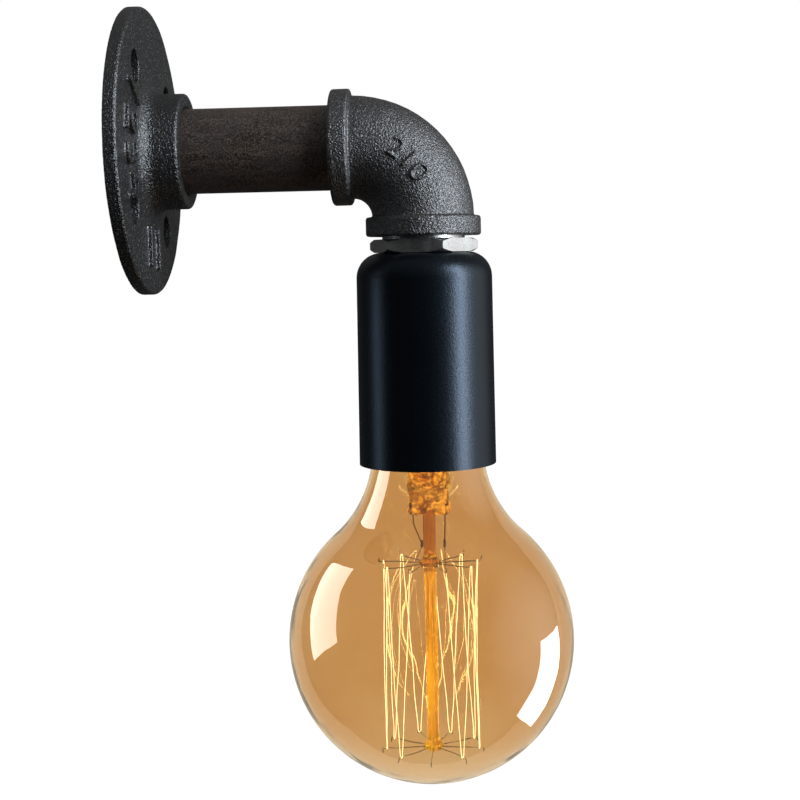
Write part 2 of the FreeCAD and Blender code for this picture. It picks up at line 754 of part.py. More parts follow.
def holder_body():
    """Porcelain body: wiring recess above, contact chamber and screw shell bore below."""
    bore = f"{SHELL_RADIUS} + size.running_clearance"
    body = turned("holder_body", [
        ("0", CHAMBER_TOP),
        ("size.contact_chamber_radius", CHAMBER_TOP),
        ("size.contact_chamber_radius", SHELL_TOP),
        (bore, SHELL_TOP),
        (bore, CAP_LOW),
        (HOLDER_RADIUS, CAP_LOW),
        (HOLDER_RADIUS, HOLDER_TOP),
        ("0", HOLDER_TOP),
    ])
    recess = new_sketch(body, "XY_Plane")
    outline(recess, [
        (f"-{RECESS_HALF}", f"-{RECESS_SIDE}"),
        (RECESS_HALF, f"-{RECESS_SIDE}"),
        (RECESS_HALF, RECESS_SIDE),
        (f"-{RECESS_HALF}", RECESS_SIDE),
    ])
    pocket(body, recess, HOLDER_TOP, "size.holder_recess_depth")
    drilled(body, "XY_Plane", [
        ("0", "size.bracket_screw_offset", SCREW_HOLE),
        ("0", "-size.bracket_screw_offset", SCREW_HOLE),
    ], HOLDER_TOP, "size.bracket_screw_length")
    drilled(body, "XY_Plane", [
        ("-size.earth_screw_aside", "-size.earth_screw_offset", "size.earth_pocket_radius"),
    ], HOLDER_TOP, "size.earth_pocket_depth")
    drilled(body, "XY_Plane", [
        ("size.live_rivet_offset", "0", RIVET_HOLE),
        ("-size.neutral_rivet_offset", "0", RIVET_HOLE),
    ], RECESS_LOW, "size.holder_floor + size.contact_chamber_height")
    outer = value(HOLDER_RADIUS)
    tip = body.Tip
    for height in (value(HOLDER_TOP), value(CAP_LOW)):
        rounded(body, "size.rim_fillet", lambda edge: is_circle(edge, outer, 2, height))
    if body.Tip is tip:
        raise RuntimeError("holder edges weren't rounded")
    keep(on_drop_axis(body))


def worm(label, low, turns, radius, angle):
    """A helical round bar on the cap's thread, which cuts the groove or stands as the ridge."""
    pitch = value("size.cap_thread_pitch")
    helix = Part.makeHelix(pitch, value(turns) * pitch, value("size.cap_core_radius"))
    helix.translate(V(0, 0, value(low)))
    helix.rotate(V(0, 0, 0), V(0, 0, 1), value(angle))
    edge = helix.Edges[0]
    circle = Part.Circle(edge.valueAt(edge.FirstParameter), edge.tangentAt(edge.FirstParameter),
                         value(radius))
    bar = helix.makePipeShell([Part.Wire([circle.toShape()])], True, True)
    return on_drop_axis(shape_node(label, bar))


def screw_shell():
    """Brass shell: plain outside, lip above, and a helical groove for the cap's ridge."""
    under = f"{SHELL_TOP} - size.shell_lip"
    body = turned("screw_shell_blank", [
        ("size.shell_lip_hole", SHELL_TOP),
        ("size.shell_lip_hole", under),
        (SHELL_BORE, under),
        (SHELL_BORE, SHELL_LOW),
        (SHELL_RADIUS, SHELL_LOW),
        (SHELL_RADIUS, SHELL_TOP),
    ])
    groove = worm("thread_groove", f"{RIDGE_LOW} - size.groove_run_in * size.cap_thread_pitch",
                  f"{RIDGE_TURNS} + size.groove_run_in + size.groove_run_out",
                  "size.cap_ridge_radius + size.ridge_clearance",
                  "size.ridge_start_angle - 360 * size.groove_run_in")
    keep(cut_from("screw_shell", on_drop_axis(body), [groove]))


def contacts():
    """Centre contact tongue, its rivet, the shell's rivet and the two terminal blocks."""
    body = doc.addObject("PartDesign::Body", "centre_contact")
    body.Label = "centre_contact"
    sketch = new_sketch(body, "XZ_Plane")
    top = CHAMBER_TOP
    thick = "size.contact_strip"
    far = "size.contact_chamber_radius - size.contact_clearance"
    tip = f"{CHAMBER_TOP} - size.contact_chamber_height / 2"
    outline(sketch, [
        (far, top),
        (far, f"{top} - {thick}"),
        ("size.foot_radius", f"{top} - {thick}"),
        ("size.foot_radius / 3", tip),
        ("-size.foot_radius / 2", tip),
        ("-size.foot_radius / 2", f"{tip} + {thick}"),
        ("size.foot_radius / 3", f"{tip} + {thick}"),
        ("size.foot_radius - size.contact_strip", top),
    ])
    pad = body.newObject("PartDesign::Pad", "strip")
    pad.Profile = sketch
    pad.setExpression("Length", "size.contact_width")
    pad.Midplane = True
    doc.recompute()
    drilled(body, "XY_Plane", [("size.live_rivet_offset", "0", RIVET_HOLE)])
    keep(on_drop_axis(body))
    for name, offset, low in (
            ("live_rivet", "size.live_rivet_offset", f"{CHAMBER_TOP} - size.contact_strip"),
            ("neutral_rivet", "-size.neutral_rivet_offset", SHELL_TOP)):
        keep(cylinder(name, "size.rivet_radius", f"{RECESS_LOW} - ({low})",
                      x=f"size.drop_axis + {offset}", z=low))
    for name, way, side in (("live_terminal", 1, "0"), ("neutral_terminal", -1, NEUTRAL_SIDE)):
        middle = f"size.drop_axis + {way} * {TERMINAL_OFFSET}"
        brick = block(f"{name}_brick", "size.terminal_length", "size.terminal_width",
                      "size.terminal_height", f"{middle} - size.terminal_length / 2",
                      "-size.terminal_width / 2", RECESS_LOW)
        wire_hole = cylinder(f"{name}_wire_hole", "size.core_radius + size.wire_clearance",
                             "size.wire_hole_depth",
                             x=f"{middle} - {way} * size.terminal_length / 2",
                             y=side, z=CORE_END, axis=V(way, 0, 0))
        screw_hole = cylinder(f"{name}_screw_hole", SCREW_HOLE, "size.terminal_height",
                              x=middle, z=CORE_END)
        keep(cut_from(name, brick, [wire_hole, screw_hole]))
    length = f"{TERMINAL_TOP} - ({CORE_END}) - size.core_radius - size.wire_clearance"
    pair = [headed_screw(f"terminal_screw_{n}", "size.terminal_screw_head", length,
                         f"size.drop_axis + {way} * {TERMINAL_OFFSET}", "0", TERMINAL_TOP)
            for n, way in enumerate((1, -1))]
    keep(group("terminal_screws", pair))


def supply_flex():
    """Sheath along the pipe axis, round the elbow and down the tube, with its three cores."""
    axis = value("size.drop_axis")
    start = value("size.flex_start")
    low = value(f"{TUBE_LOW} + size.tube_thread_pitch")
    bend = value("size.flex_bend")
    centre = route([V(start, 0, 0), V(axis, 0, 0), V(axis, 0, low)], bend)
    sheath = tube_along(centre, value("size.flex_radius"))
    keep(shape_node("flex_sheath", sheath.cut(tube_along(centre, value("size.flex_bore_radius")))))
    height = value(CORE_END)
    reach = value(TERMINAL_OFFSET)
    aside = value("size.earth_screw_aside")
    screw = value("size.earth_screw_offset")
    beside = value("(size.screw_radius + size.core_radius + size.wire_clearance) / sqrt(2)")
    under = value(f"{TUBE_LOW} - size.core_bend - size.wire_clearance")
    ends = {
        "live_core": (0, lambda x, y: V(axis + reach, y, height)),
        "neutral_core": (120, lambda x, y: V(axis - reach, y, height)),
        "earth_core": (240, lambda x, y: V(axis - aside + beside, -screw + beside, under)),
    }
    for name, (turn, end) in ends.items():
        angle = math.radians(turn)
        inward = value("size.core_offset") * math.cos(angle)
        side = value("size.core_offset") * math.sin(angle)
        foot = V(axis + inward, side, low)
        last = end(foot.x, foot.y)
        upper = route([V(start, side, inward), V(foot.x, side, inward), foot], bend + inward)
        lower = route([foot, V(foot.x, side, last.z), last], value("size.core_bend"))
        keep(shape_node(name, tube_along(Part.Wire(upper.Edges + lower.Edges),
                                         value("size.core_radius"))))


# Bulb

def bulb_cap():
    """Thread shell of the bulb: thin hollow cap with a helical ridge and a rim."""
    core = "size.cap_core_radius"
    rim = f"{core} + size.cap_rim_lip"
    body = turned("bulb_cap_blank", [
        ("0", CAP_LOW),
        (rim, CAP_LOW),
        (rim, f"{CAP_LOW} + size.cap_rim_height"),
        (core, f"{CAP_LOW} + size.cap_rim_height"),
        (core, f"{CAP_TOP} - size.cap_shoulder"),
        (f"{core} - size.cap_shoulder", CAP_TOP),
        ("0", CAP_TOP),
    ])
    ridge = doc.addObject("Part::Fuse", "ridged_cap")
    ridge.Base = on_drop_axis(body)
    ridge.Tool = worm("thread_ridge", RIDGE_LOW, RIDGE_TURNS, "size.cap_ridge_radius",
                      "size.ridge_start_angle")
    hollow = turned("cap_hollow", [
        ("0", CAP_LOW),
        (CAP_INNER, CAP_LOW),
        (CAP_INNER, f"{CAP_TOP} - size.cap_shoulder"),
        (f"{CAP_INNER} - size.cap_shoulder", CAP_TOP),
        ("0", CAP_TOP),
    ])
    keep(cut_from("bulb_cap", ridge, [on_drop_axis(hollow)]))


def bulb_foot():
    """Foot contact and the glass insulator that holds it in the cap."""
    foot = turned("foot_contact", [
        ("0", FOOT_LOW),
        ("size.foot_radius", FOOT_LOW),
        ("size.foot_radius", f"{FOOT_LOW} + size.foot_height / 3"),
        ("size.foot_radius / 2", FOOT_TOP),
        ("0", FOOT_TOP),
    ])
    keep(on_drop_axis(foot))
    edge = f"{CAP_INNER} - size.cap_shoulder - size.seal_clearance"
    low = f"{FOOT_LOW} - size.contact_gap"
    insulator = turned("cap_insulator", [
        ("0", f"{CAP_TOP} - size.cap_shoulder"),
        (edge, f"{CAP_TOP} - size.cap_shoulder"),
        (edge, CAP_TOP),
        ("size.foot_radius + size.foot_land", low),
        ("0", low),
    ])
    keep(on_drop_axis(insulator))


BLEND_X = "(size.neck_radius + size.neck_blend)"
BLEND_R = "(size.globe_radius + size.neck_blend)"
BLEND_Z = f"sqrt({BLEND_R} * {BLEND_R} - {BLEND_X} * {BLEND_X})"
NECK_Z = f"({CAP_LOW} - size.cap_to_glass - size.neck_shoulder)"
GLOBE = f"({NECK_Z} - {BLEND_Z})"
SEAL_TOP = f"({NECK_Z} + size.neck_shoulder + size.seal_height)"


def glass_envelope():
    """Globe with a blended neck, drawn in to the seal inside the cap."""
    share_x = f"{BLEND_X} / {BLEND_R}"
    share_z = f"{BLEND_Z} / {BLEND_R}"
    inner = "(size.globe_radius - size.glass_wall)"
    step = f"{NECK_Z} + size.neck_shoulder"
    centre = "(size.neck_radius - size.neck_shoulder)"
    body = turned("glass_envelope", [
        ("0", f"{GLOBE} - size.globe_radius", "size.globe_radius", 1),
        (f"size.globe_radius * {share_x}", f"{GLOBE} + size.globe_radius * {share_z}",
         "size.neck_blend", -1),
        ("size.neck_radius", NECK_Z, "size.neck_shoulder", 1),
        (centre, step),
        (SEAL_RADIUS, step),
        (SEAL_RADIUS, SEAL_TOP),
        (f"{SEAL_RADIUS} - size.glass_wall", SEAL_TOP),
        (f"{SEAL_RADIUS} - size.glass_wall", f"{step} - size.glass_wall"),
        (centre, f"{step} - size.glass_wall", "size.neck_shoulder - size.glass_wall", -1),
        ("size.neck_radius - size.glass_wall", NECK_Z, "size.neck_blend + size.glass_wall", 1),
        (f"{inner} * {share_x}", f"{GLOBE} + {inner} * {share_z}", inner, -1),
        ("0", f"{GLOBE} - {inner}"),
    ])
    keep(on_drop_axis(body))
    cement = turned("basing_cement", [
        (SEAL_RADIUS, CAP_LOW),
        (CAP_INNER, CAP_LOW),
        (CAP_INNER, SEAL_TOP),
        (SEAL_RADIUS, SEAL_TOP),
    ])
    keep(on_drop_axis(cement))


STEM_LOW = f"({GLOBE} + size.stem_rise)"
UPPER = f"({GLOBE} + size.upper_button_rise)"
LOWER = f"({GLOBE} - size.globe_radius + size.lower_button_floor)"


def glass_stem():
    """Flared stem tube, closed below, and the rod with its two buttons."""
    edge = f"{SEAL_RADIUS} - size.glass_wall - size.seal_clearance"
    flare = f"{SEAL_TOP} - size.flare_length"
    press = f"{STEM_LOW} + size.press_height"
    inner = "size.stem_radius - size.stem_wall"
    stem = turned("glass_stem", [
        ("0", STEM_LOW),
        ("size.stem_radius", STEM_LOW),
        ("size.stem_radius", flare),
        (edge, f"{SEAL_TOP} - size.stem_wall"),
        (edge, SEAL_TOP),
        (f"{edge} - size.stem_wall", SEAL_TOP),
        (inner, flare),
        (inner, press),
        ("0", f"{press} - size.press_dip"),
    ])
    keep(on_drop_axis(stem))
    half = "size.button_height / 2"
    rod = turned("support_rod", [
        ("0", f"{LOWER} - {half}"),
        ("size.button_tip_radius", f"{LOWER} - {half}"),
        ("size.button_radius", LOWER),
        ("size.rod_radius", f"{LOWER} + {half}"),
        ("size.rod_radius", f"{UPPER} - {half}"),
        ("size.button_radius", UPPER),
        ("size.rod_radius", f"{UPPER} + {half}"),
        ("size.rod_radius", STEM_LOW),
        ("0", STEM_LOW),
    ])
    keep(on_drop_axis(rod))


def around(radius, angle, height):
    """A point round the drop axis."""
    turn = math.radians(angle)
    x = value("size.drop_axis") + radius * math.cos(turn)
    return V(x, radius * math.sin(turn), height)


def hook_angles(level):
    """Angles of the hooks of the upper (0) or lower (1) ring."""
    count = int(value("size.strand_pairs"))
    step = 360.0 / count
    return [value("size.first_hook_angle") + step * (n + 0.5 * level) for n in range(count)]


def supports():
    """Hooked wires that stand out from each button."""
    wire = value("size.support_radius")
    cage = value("size.cage_radius")
    hook = value("size.support_hook")
    root = value("size.button_radius + size.running_clearance")
    for label, height, way, level in (("upper_supports", value(UPPER), 1, 0),
                                      ("lower_supports", value(LOWER), -1, 1)):
        solids = []
        for angle in hook_angles(level):
            end = around(cage + hook, angle, height)
            points = [around(root, angle, height), end, end + V(0, 0, way * hook)]
            solids.append(tube_along(route(points, 2 * wire), wire))
        keep(shape_node(label, Part.makeCompound(solids)))


def filament_points():
    """Corners of the zigzag, from the first upper hook to the last: two at each hook."""
    cage = value("size.cage_radius")
    bend = value("size.filament_bend")
    points = []
    for upper, lower in zip(hook_angles(0), hook_angles(1)):
        for angle, height, rise in ((upper, value(UPPER), bend), (lower, value(LOWER), -bend)):
            middle = around(cage, angle, height + rise)
            turn = math.radians(angle)
            along = V(-math.sin(turn), math.cos(turn), 0) * bend
            points += [middle - along, middle + along]
    return points[1:-3]


def least_gap(points, radius, near):
    """Least gap between stretches of a tube that are near or more points apart along it."""
    gap = 1e9
    for here in range(len(points)):
        for there in range(here + near, len(points)):
            gap = min(gap, (points[here] - points[there]).Length - 2 * radius)
    return gap


# An arc takes a little less than half of the short run between the two corners at a hook.
CORNER_SHARE = 0.96
MARK_SPACING = 0.6
NEAR_MARKS = 6


def filament():
    """One unbroken wire, up and down round the cage over the hooks."""
    radius = value("size.filament_radius")
    points = filament_points()
    wire = route(points, CORNER_SHARE * value("size.filament_bend"))
    marks = wire.discretize(Distance=MARK_SPACING)
    print("filament length", round(wire.Length, 1), "least gap to itself",
          round(least_gap(marks, radius, NEAR_MARKS), 2))
    keep(shape_node("filament", tube_along(wire, radius)))
    return points


def lead_wires(points):
    """Two wires out of the stem, which carry the ends of the filament."""
    radius = value("size.lead_radius")
    spread = value("size.lead_spacing")
    axis = value("size.drop_axis")
    stem = value(f"{STEM_LOW} - size.running_clearance")
    rise = V(0, 0, value("size.filament_radius + size.running_clearance"))
    drop = V(0, 0, value("size.lead_drop"))
    solids = []
    for way, end in ((1, points[0]), (-1, points[-1])):
        top = V(axis + way * spread, 0, stem)
        line = route([top, top - drop, end + rise], value("size.lead_bend"))
        solids.append(tube_along(line, radius))
    keep(shape_node("lead_wires", Part.makeCompound(solids)))


wall_flange()
pipe_nipple()
elbow()
hex_plug()
threaded_tube()
cover_cup()
cup_fixings()
holder_bracket()
holder_screws()
holder_body()
screw_shell()
contacts()
supply_flex()
bulb_cap()
bulb_foot()
glass_envelope()
glass_stem()
supports()
lead_wires(filament())
doc.recompute()

for item in doc.Objects:
    if "Invalid" in item.State or "Error" in item.State:
        raise RuntimeError(f"{item.Label} failed: {item.State}")
os.makedirs("parts", exist_ok=True)
for piece in nodes:
    if piece.Shape.isNull() or not piece.Shape.isValid():
        raise RuntimeError(f"{piece.Label} has no valid shape")
    piece.Shape.exportStep(f"parts/{piece.Label}.step")
print(len(nodes), "nodes written")
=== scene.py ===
"""Looks of a pipe wall light: cast flange and elbow, steel pipe and plug, black cup, globe bulb."""
import math
import random

import bmesh
import bpy
import numpy as np
from bpy.props import FloatProperty, FloatVectorProperty, IntProperty, PointerProperty
from mathutils import Matrix, Quaternion, Vector, noise


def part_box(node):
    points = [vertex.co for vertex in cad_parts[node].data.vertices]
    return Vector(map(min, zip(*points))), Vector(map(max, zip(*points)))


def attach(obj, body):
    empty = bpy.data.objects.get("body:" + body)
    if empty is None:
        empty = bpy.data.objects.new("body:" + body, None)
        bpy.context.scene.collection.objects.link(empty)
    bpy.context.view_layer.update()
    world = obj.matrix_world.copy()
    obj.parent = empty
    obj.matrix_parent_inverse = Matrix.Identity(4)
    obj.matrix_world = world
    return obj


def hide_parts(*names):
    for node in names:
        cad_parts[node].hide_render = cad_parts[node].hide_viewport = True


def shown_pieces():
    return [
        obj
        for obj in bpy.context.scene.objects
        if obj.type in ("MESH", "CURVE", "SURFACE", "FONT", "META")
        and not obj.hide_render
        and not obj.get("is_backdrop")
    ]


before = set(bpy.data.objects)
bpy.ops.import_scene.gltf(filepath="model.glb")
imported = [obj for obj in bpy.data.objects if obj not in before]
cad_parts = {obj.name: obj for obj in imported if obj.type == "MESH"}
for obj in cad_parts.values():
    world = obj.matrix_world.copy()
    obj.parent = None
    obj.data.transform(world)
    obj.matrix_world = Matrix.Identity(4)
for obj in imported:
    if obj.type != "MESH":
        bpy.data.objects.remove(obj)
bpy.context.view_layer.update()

bl_info = {
    "name": "Pipe Wall Light",
    "version": (1, 0, 0),
    "blender": (4, 5, 0),
    "location": "3D View > Sidebar > Wall Light",
    "description": "Dresses the wall light's frame with its castings, finishes, glass and glow",
    "category": "Object",
}

MM = 0.001
POLE = 1e-7
WELD = 1e-6

# Places read from the frame: the drop axis, the globe and the two rings of hooks.
GLOBE_LOW, GLOBE_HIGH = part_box("glass_envelope")
DROP_X = (GLOBE_LOW.x + GLOBE_HIGH.x) / 2
GLOBE_RADIUS = (GLOBE_HIGH.x - GLOBE_LOW.x) / 2
GLOBE_Z = GLOBE_LOW.z + GLOBE_RADIUS
SEAL_TOP = GLOBE_HIGH.z
STEM_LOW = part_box("glass_stem")[0].z
ROD_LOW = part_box("support_rod")[0].z
UPPER_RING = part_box("upper_supports")[0].z
LOWER_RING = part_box("lower_supports")[1].z


def length(name, text, millimetres):
    """A length setting, given in millimetres and kept in metres."""
    return FloatProperty(name=name, description=text, default=millimetres * MM, precision=5,
                         subtype="DISTANCE", unit="LENGTH")


def angle(name, text, degrees):
    """An angle setting, given in degrees."""
    return FloatProperty(name=name, description=text, default=math.radians(degrees),
                         subtype="ANGLE", unit="ROTATION")


def amount(name, text, number, high=1.0):
    """A plain number setting."""
    return FloatProperty(name=name, description=text, default=number, min=0.0, max=high)


def colour(name, text, red, green, blue):
    """A colour setting."""
    return FloatVectorProperty(name=name, description=text, default=(red, green, blue),
                               size=3, min=0.0, max=1.0, subtype="COLOR")


# Settings

class WallLightStage(bpy.types.PropertyGroup):
    """The floor, the room's light and the camera."""

    camera_place: FloatVectorProperty(
        name="Camera place", description="Where the camera stands", size=3,
        default=(0.11284, -0.47457, -0.035), subtype="TRANSLATION", unit="LENGTH")
    camera_yaw: angle("Yaw", "Turn of the camera from straight at the wall light", -3.674)
    camera_pitch: angle("Pitch", "Tilt of the camera above level", -5.528)
    camera_roll: angle("Roll", "Turn of the camera about its own axis", -1.241)
    camera_lens: FloatProperty(name="Lens", description="Focal length of the camera",
                               default=66.534, min=10.0, max=300.0)
    floor_height: length("Floor height", "Height of the pale floor", -260.0)
    floor_size: length("Floor size", "Half the floor's width", 6000.0)
    sky: amount("Sky", "Room light from above", 0.75)
    ground: amount("Ground", "Room light from below", 0.03)
    window: amount("Window", "Brightness of the window at the right", 15.0, 100.0)
    panes: amount("Panes", "Brightness of the windows that the globe shows", 8.0, 100.0)
    back_glow: amount("Back glow", "Brightness of the pale room behind the globe", 0.62, 100.0)


class WallLightIron(bpy.types.PropertyGroup):
    """The flange and elbow castings."""

    voxel: length("Voxel", "Size of the mesh that stands for the cast skin", 0.3)
    lump: length("Lump", "Height of the slow swells of a casting", 0.10)
    grain: length("Grain", "Height of the sand grain", 0.02)
    face_rise: length("Face mark rise", "How far the flange's numerals stand out", 1.5)
    mark_rise: length("Mark rise", "How far the elbow's number stands out", 0.65)
    dark: colour("Dark", "Pits of the iron", 0.003, 0.0026, 0.0024)
    light: colour("Light", "Crests of the iron", 0.115, 0.100, 0.090)
    # Painted shade goes with this tint: the flange's plate face, toward +X, takes it, while the flange's
    # other sides are painted darker.
    face: colour("Face", "Tint of the flange's plate", 0.88, 0.96, 1.0)


class WallLightMetal(bpy.types.PropertyGroup):
    """The pipe, the plated steel, the brass and the cup."""

    pipe: colour("Pipe", "Mill skin of the pipe", 0.011, 0.006, 0.004)
    pipe_light: colour("Pipe light", "Pale specks of the pipe's skin", 0.105, 0.074, 0.056)
    zinc: colour("Zinc", "Plated steel", 0.66, 0.66, 0.64)
    brass: colour("Brass", "Contacts and shells", 0.80, 0.62, 0.30)
    cup: colour("Cup", "Black coat of the cup", 0.0005, 0.0014, 0.0022)


class WallLightGlass(bpy.types.PropertyGroup):
    """The globe, its stem and rod."""

    neck_radius: length("Neck radius", "Radius of the globe's neck", 18.0)
    neck_blend: length("Neck blend", "Radius of the curve between neck and globe", 38.0)
    shoulder: length("Shoulder", "Radius of the curve above the neck", 6.8)
    wall: length("Wall", "Thickness of the globe", 0.8)
    seal_radius: length("Seal radius", "Radius of the glass inside the cap", 10.9)
    wave: length("Wave", "Unevenness of the globe's inner face", 0.06)
    tint: colour("Tint", "Amber of one wall of the globe", 0.755, 0.545, 0.305)
    tint_pale: colour("Pale tint", "Amber at the foot of the globe", 0.86, 0.70, 0.48)
    tint_deep: colour("Deep tint", "Amber where the wall is darkest", 0.71, 0.47, 0.235)
    stem_radius: length("Stem radius", "Radius of the stem tube", 6.6)
    press_width: length("Press width", "Half the width of the flattened press", 6.7)
    press_depth: length("Press depth", "Half the depth of the flattened press", 3.4)
    rod_radius: length("Rod radius", "Radius of the glass rod", 2.0)
    bead_radius: length("Bead radius", "Radius of the rod's two buttons", 3.3)


class WallLightGlow(bpy.types.PropertyGroup):
    """The wires in the globe."""

    cage_radius: length("Cage radius", "Radius of the circle of strands", 15.5)
    strands: IntProperty(name="Strand pairs", description="Hooks on each ring", default=9,
                         min=3, max=20)
    first_hook: angle("First hook", "Angle of the first upper hook", -70.0)
    hook: length("Hook", "How far a hook's tip stands out", 1.7)
    hook_wire: length("Hook wire", "Radius of the hook wires", 0.18)
    bend: length("Bend", "Half the width of the loop over a hook", 0.4)
    wire: length("Wire", "Radius of the glowing wire", 0.10)
    bow: length("Bow", "How far a strand bows at its middle", 0.5)
    strength: amount("Strength", "Brightness of the glowing wire", 3.4, 200.0)
    glare: amount("Glare", "Brightness of the wire where the glass mirrors it", 600.0, 1000.0)
    warm: colour("Warm", "Colour of the glowing wire", 1.0, 0.90, 0.80)


# Meshes

def new_piece(name, mesh):
    """An object for a mesh, in the scene."""
    piece = bpy.data.objects.new(name, mesh)
    bpy.context.scene.collection.objects.link(piece)
    return piece


def from_bmesh(name, bm, sharp=40.0):
    """A smooth-shaded mesh whose edges past an angle stay sharp."""
    bmesh.ops.recalc_face_normals(bm, faces=bm.faces)
    limit = math.radians(sharp)
    for face in bm.faces:
        face.smooth = True
    for edge in bm.edges:
        edge.smooth = edge.calc_face_angle(0.0) < limit
    mesh = bpy.data.meshes.new(name)
    bm.to_mesh(mesh)
    bm.free()
    return mesh


def skin(bm, rows):
    """Join rows of vertices with faces: a row of one vertex is a pole."""
    for low, high in zip(rows, rows[1:]):
        count = max(len(low), len(high))
        for here in range(count):
            there = (here + 1) % count
            corners = [low[here % len(low)], low[there % len(low)],
                       high[there % len(high)], high[here % len(high)]]
            unique = list(dict.fromkeys(corners))
            if len(unique) > 2:
                bm.faces.new(unique)


def revolve(name, sections, sides, place, sharp=40.0):
    """Skin rings about the drop axis; sections start (width, height), and no width is a pole."""
    bm = bmesh.new()
    rows = []
    for section in sections:
        if section[0] < POLE:
            rows.append([bm.verts.new((DROP_X, 0.0, section[1]))])
            continue
        turns = (2 * math.pi * step / sides for step in range(sides))
        rows.append([bm.verts.new(place(section, turn)) for turn in turns])
    skin(bm, rows)
    return from_bmesh(name, bm, sharp)


def around(radius, turn, height):
    """A point round the drop axis."""
    return Vector((DROP_X + radius * math.cos(turn), radius * math.sin(turn), height))


def arc(centre, radius, start, stop, steps):
    """Points (x, z) of an arc, from one angle to another, in degrees from the X axis."""
    points = []
    for step in range(steps + 1):
        turn = math.radians(start + (stop - start) * step / steps)
        points.append((centre[0] + radius * math.cos(turn), centre[1] + radius * math.sin(turn)))
    return points


def path(corners, bend, steps=6):
    """Points along straight runs, with a round arc at each inner corner."""
    points = [corners[0]]
    for before, corner, after in zip(corners, corners[1:], corners[2:]):
        back = (before - corner).normalized()
        ahead = (after - corner).normalized()
        turn = math.pi - back.angle(ahead)
        reach = bend * math.tan(turn / 2)
        start = corner + back * reach
        stop = corner + ahead * reach
        centre = corner + (back + ahead).normalized() * (bend / math.cos(turn / 2))
        swing = (start - centre).rotation_difference(stop - centre)
        for step in range(steps + 1):
            part = Matrix.Rotation(swing.angle * step / steps, 3, swing.axis)
            points.append(centre + part @ (start - centre))
    return points + [corners[-1]]


def spaced(points, gap):
    """The same line with points at an even spacing."""
    line = np.array(points, float)
    steps = np.linalg.norm(np.diff(line, axis=0), axis=1)
    along = np.concatenate([[0.0], np.cumsum(steps)])
    count = max(2, int(round(along[-1] / gap)) + 1)
    marks = np.linspace(0.0, along[-1], count)
    return [Vector([np.interp(mark, along, line[:, k]) for k in range(3)]) for mark in marks]


def add_tube(bm, points, radius, sides=8):
    """Add a round bar along points. radius is a number or a function of the point's number."""
    across = (points[1] - points[0]).orthogonal().normalized()
    rows = []
    for here, point in enumerate(points):
        before = points[max(here - 1, 0)]
        after = points[min(here + 1, len(points) - 1)]
        along = (after - before).normalized()
        across = (across - along * across.dot(along)).normalized()
        side = along.cross(across)
        reach = radius(here) if callable(radius) else radius
        rows.append([bm.verts.new(point + (across * math.cos(turn) + side * math.sin(turn)) * reach)
                     for turn in (2 * math.pi * step / sides for step in range(sides))])
    ends = [[bm.verts.new(points[0])], [bm.verts.new(points[-1])]]
    skin(bm, [ends[0]] + rows + [ends[1]])


# Node trees

class Nodes:
    """A node tree, with a short call for each kind of node that it needs."""

    def __init__(self, tree):
        self.tree = tree
        self.tree.nodes.clear()

    def add(self, kind, **settings):
        """A new node with its settings."""
        node = self.tree.nodes.new(kind)
        for name, value in settings.items():
            setattr(node, name, value)
        return node

    def put(self, socket, value):
        """Link a socket, or set its value."""
        if isinstance(value, bpy.types.NodeSocket):
            self.tree.links.new(value, socket)
        elif hasattr(value, "__len__") and socket.type == "RGBA" and len(value) == 3:
            socket.default_value = (*value, 1.0)
        else:
            socket.default_value = value

    def fill(self, node, values, sockets=(0, 1, 2, 3, 4), output=0):
        """Put values in a node's sockets, named by number, and return one output."""
        for socket, value in zip(sockets, values):
            self.put(node.inputs[socket], value)
        return node.outputs[output]

    def span(self, value, low, high, to_low=0.0, to_high=1.0):
        """Spread a value from one range to another, held at its ends."""
        return self.fill(self.add("ShaderNodeMapRange"), (value, low, high, to_low, to_high))

    def maths(self, operation, first, second=0.0):
        """One sum."""
        return self.fill(self.add("ShaderNodeMath", operation=operation), (first, second))

    def choose(self, share, first, second):
        """Mix two numbers."""
        node = self.add("ShaderNodeMix", data_type="FLOAT")
        return self.fill(node, (share, first, second), (0, 2, 3))

    def join(self, share, first, second):
        """Mix two surfaces."""
        return self.fill(self.add("ShaderNodeMixShader"), (share, first, second))

    def seen(self, rays):
        """1 where the camera looks, straight or through glass."""
        return self.maths("MAXIMUM", rays["Is Camera Ray"], rays["Is Transmission Ray"])

    def mix(self, share, first, second, blend="MIX"):
        """Mix two colours."""
        node = self.add("ShaderNodeMix", data_type="RGBA", blend_type=blend)
        return self.fill(node, (share, first, second), (0, 6, 7), 2)


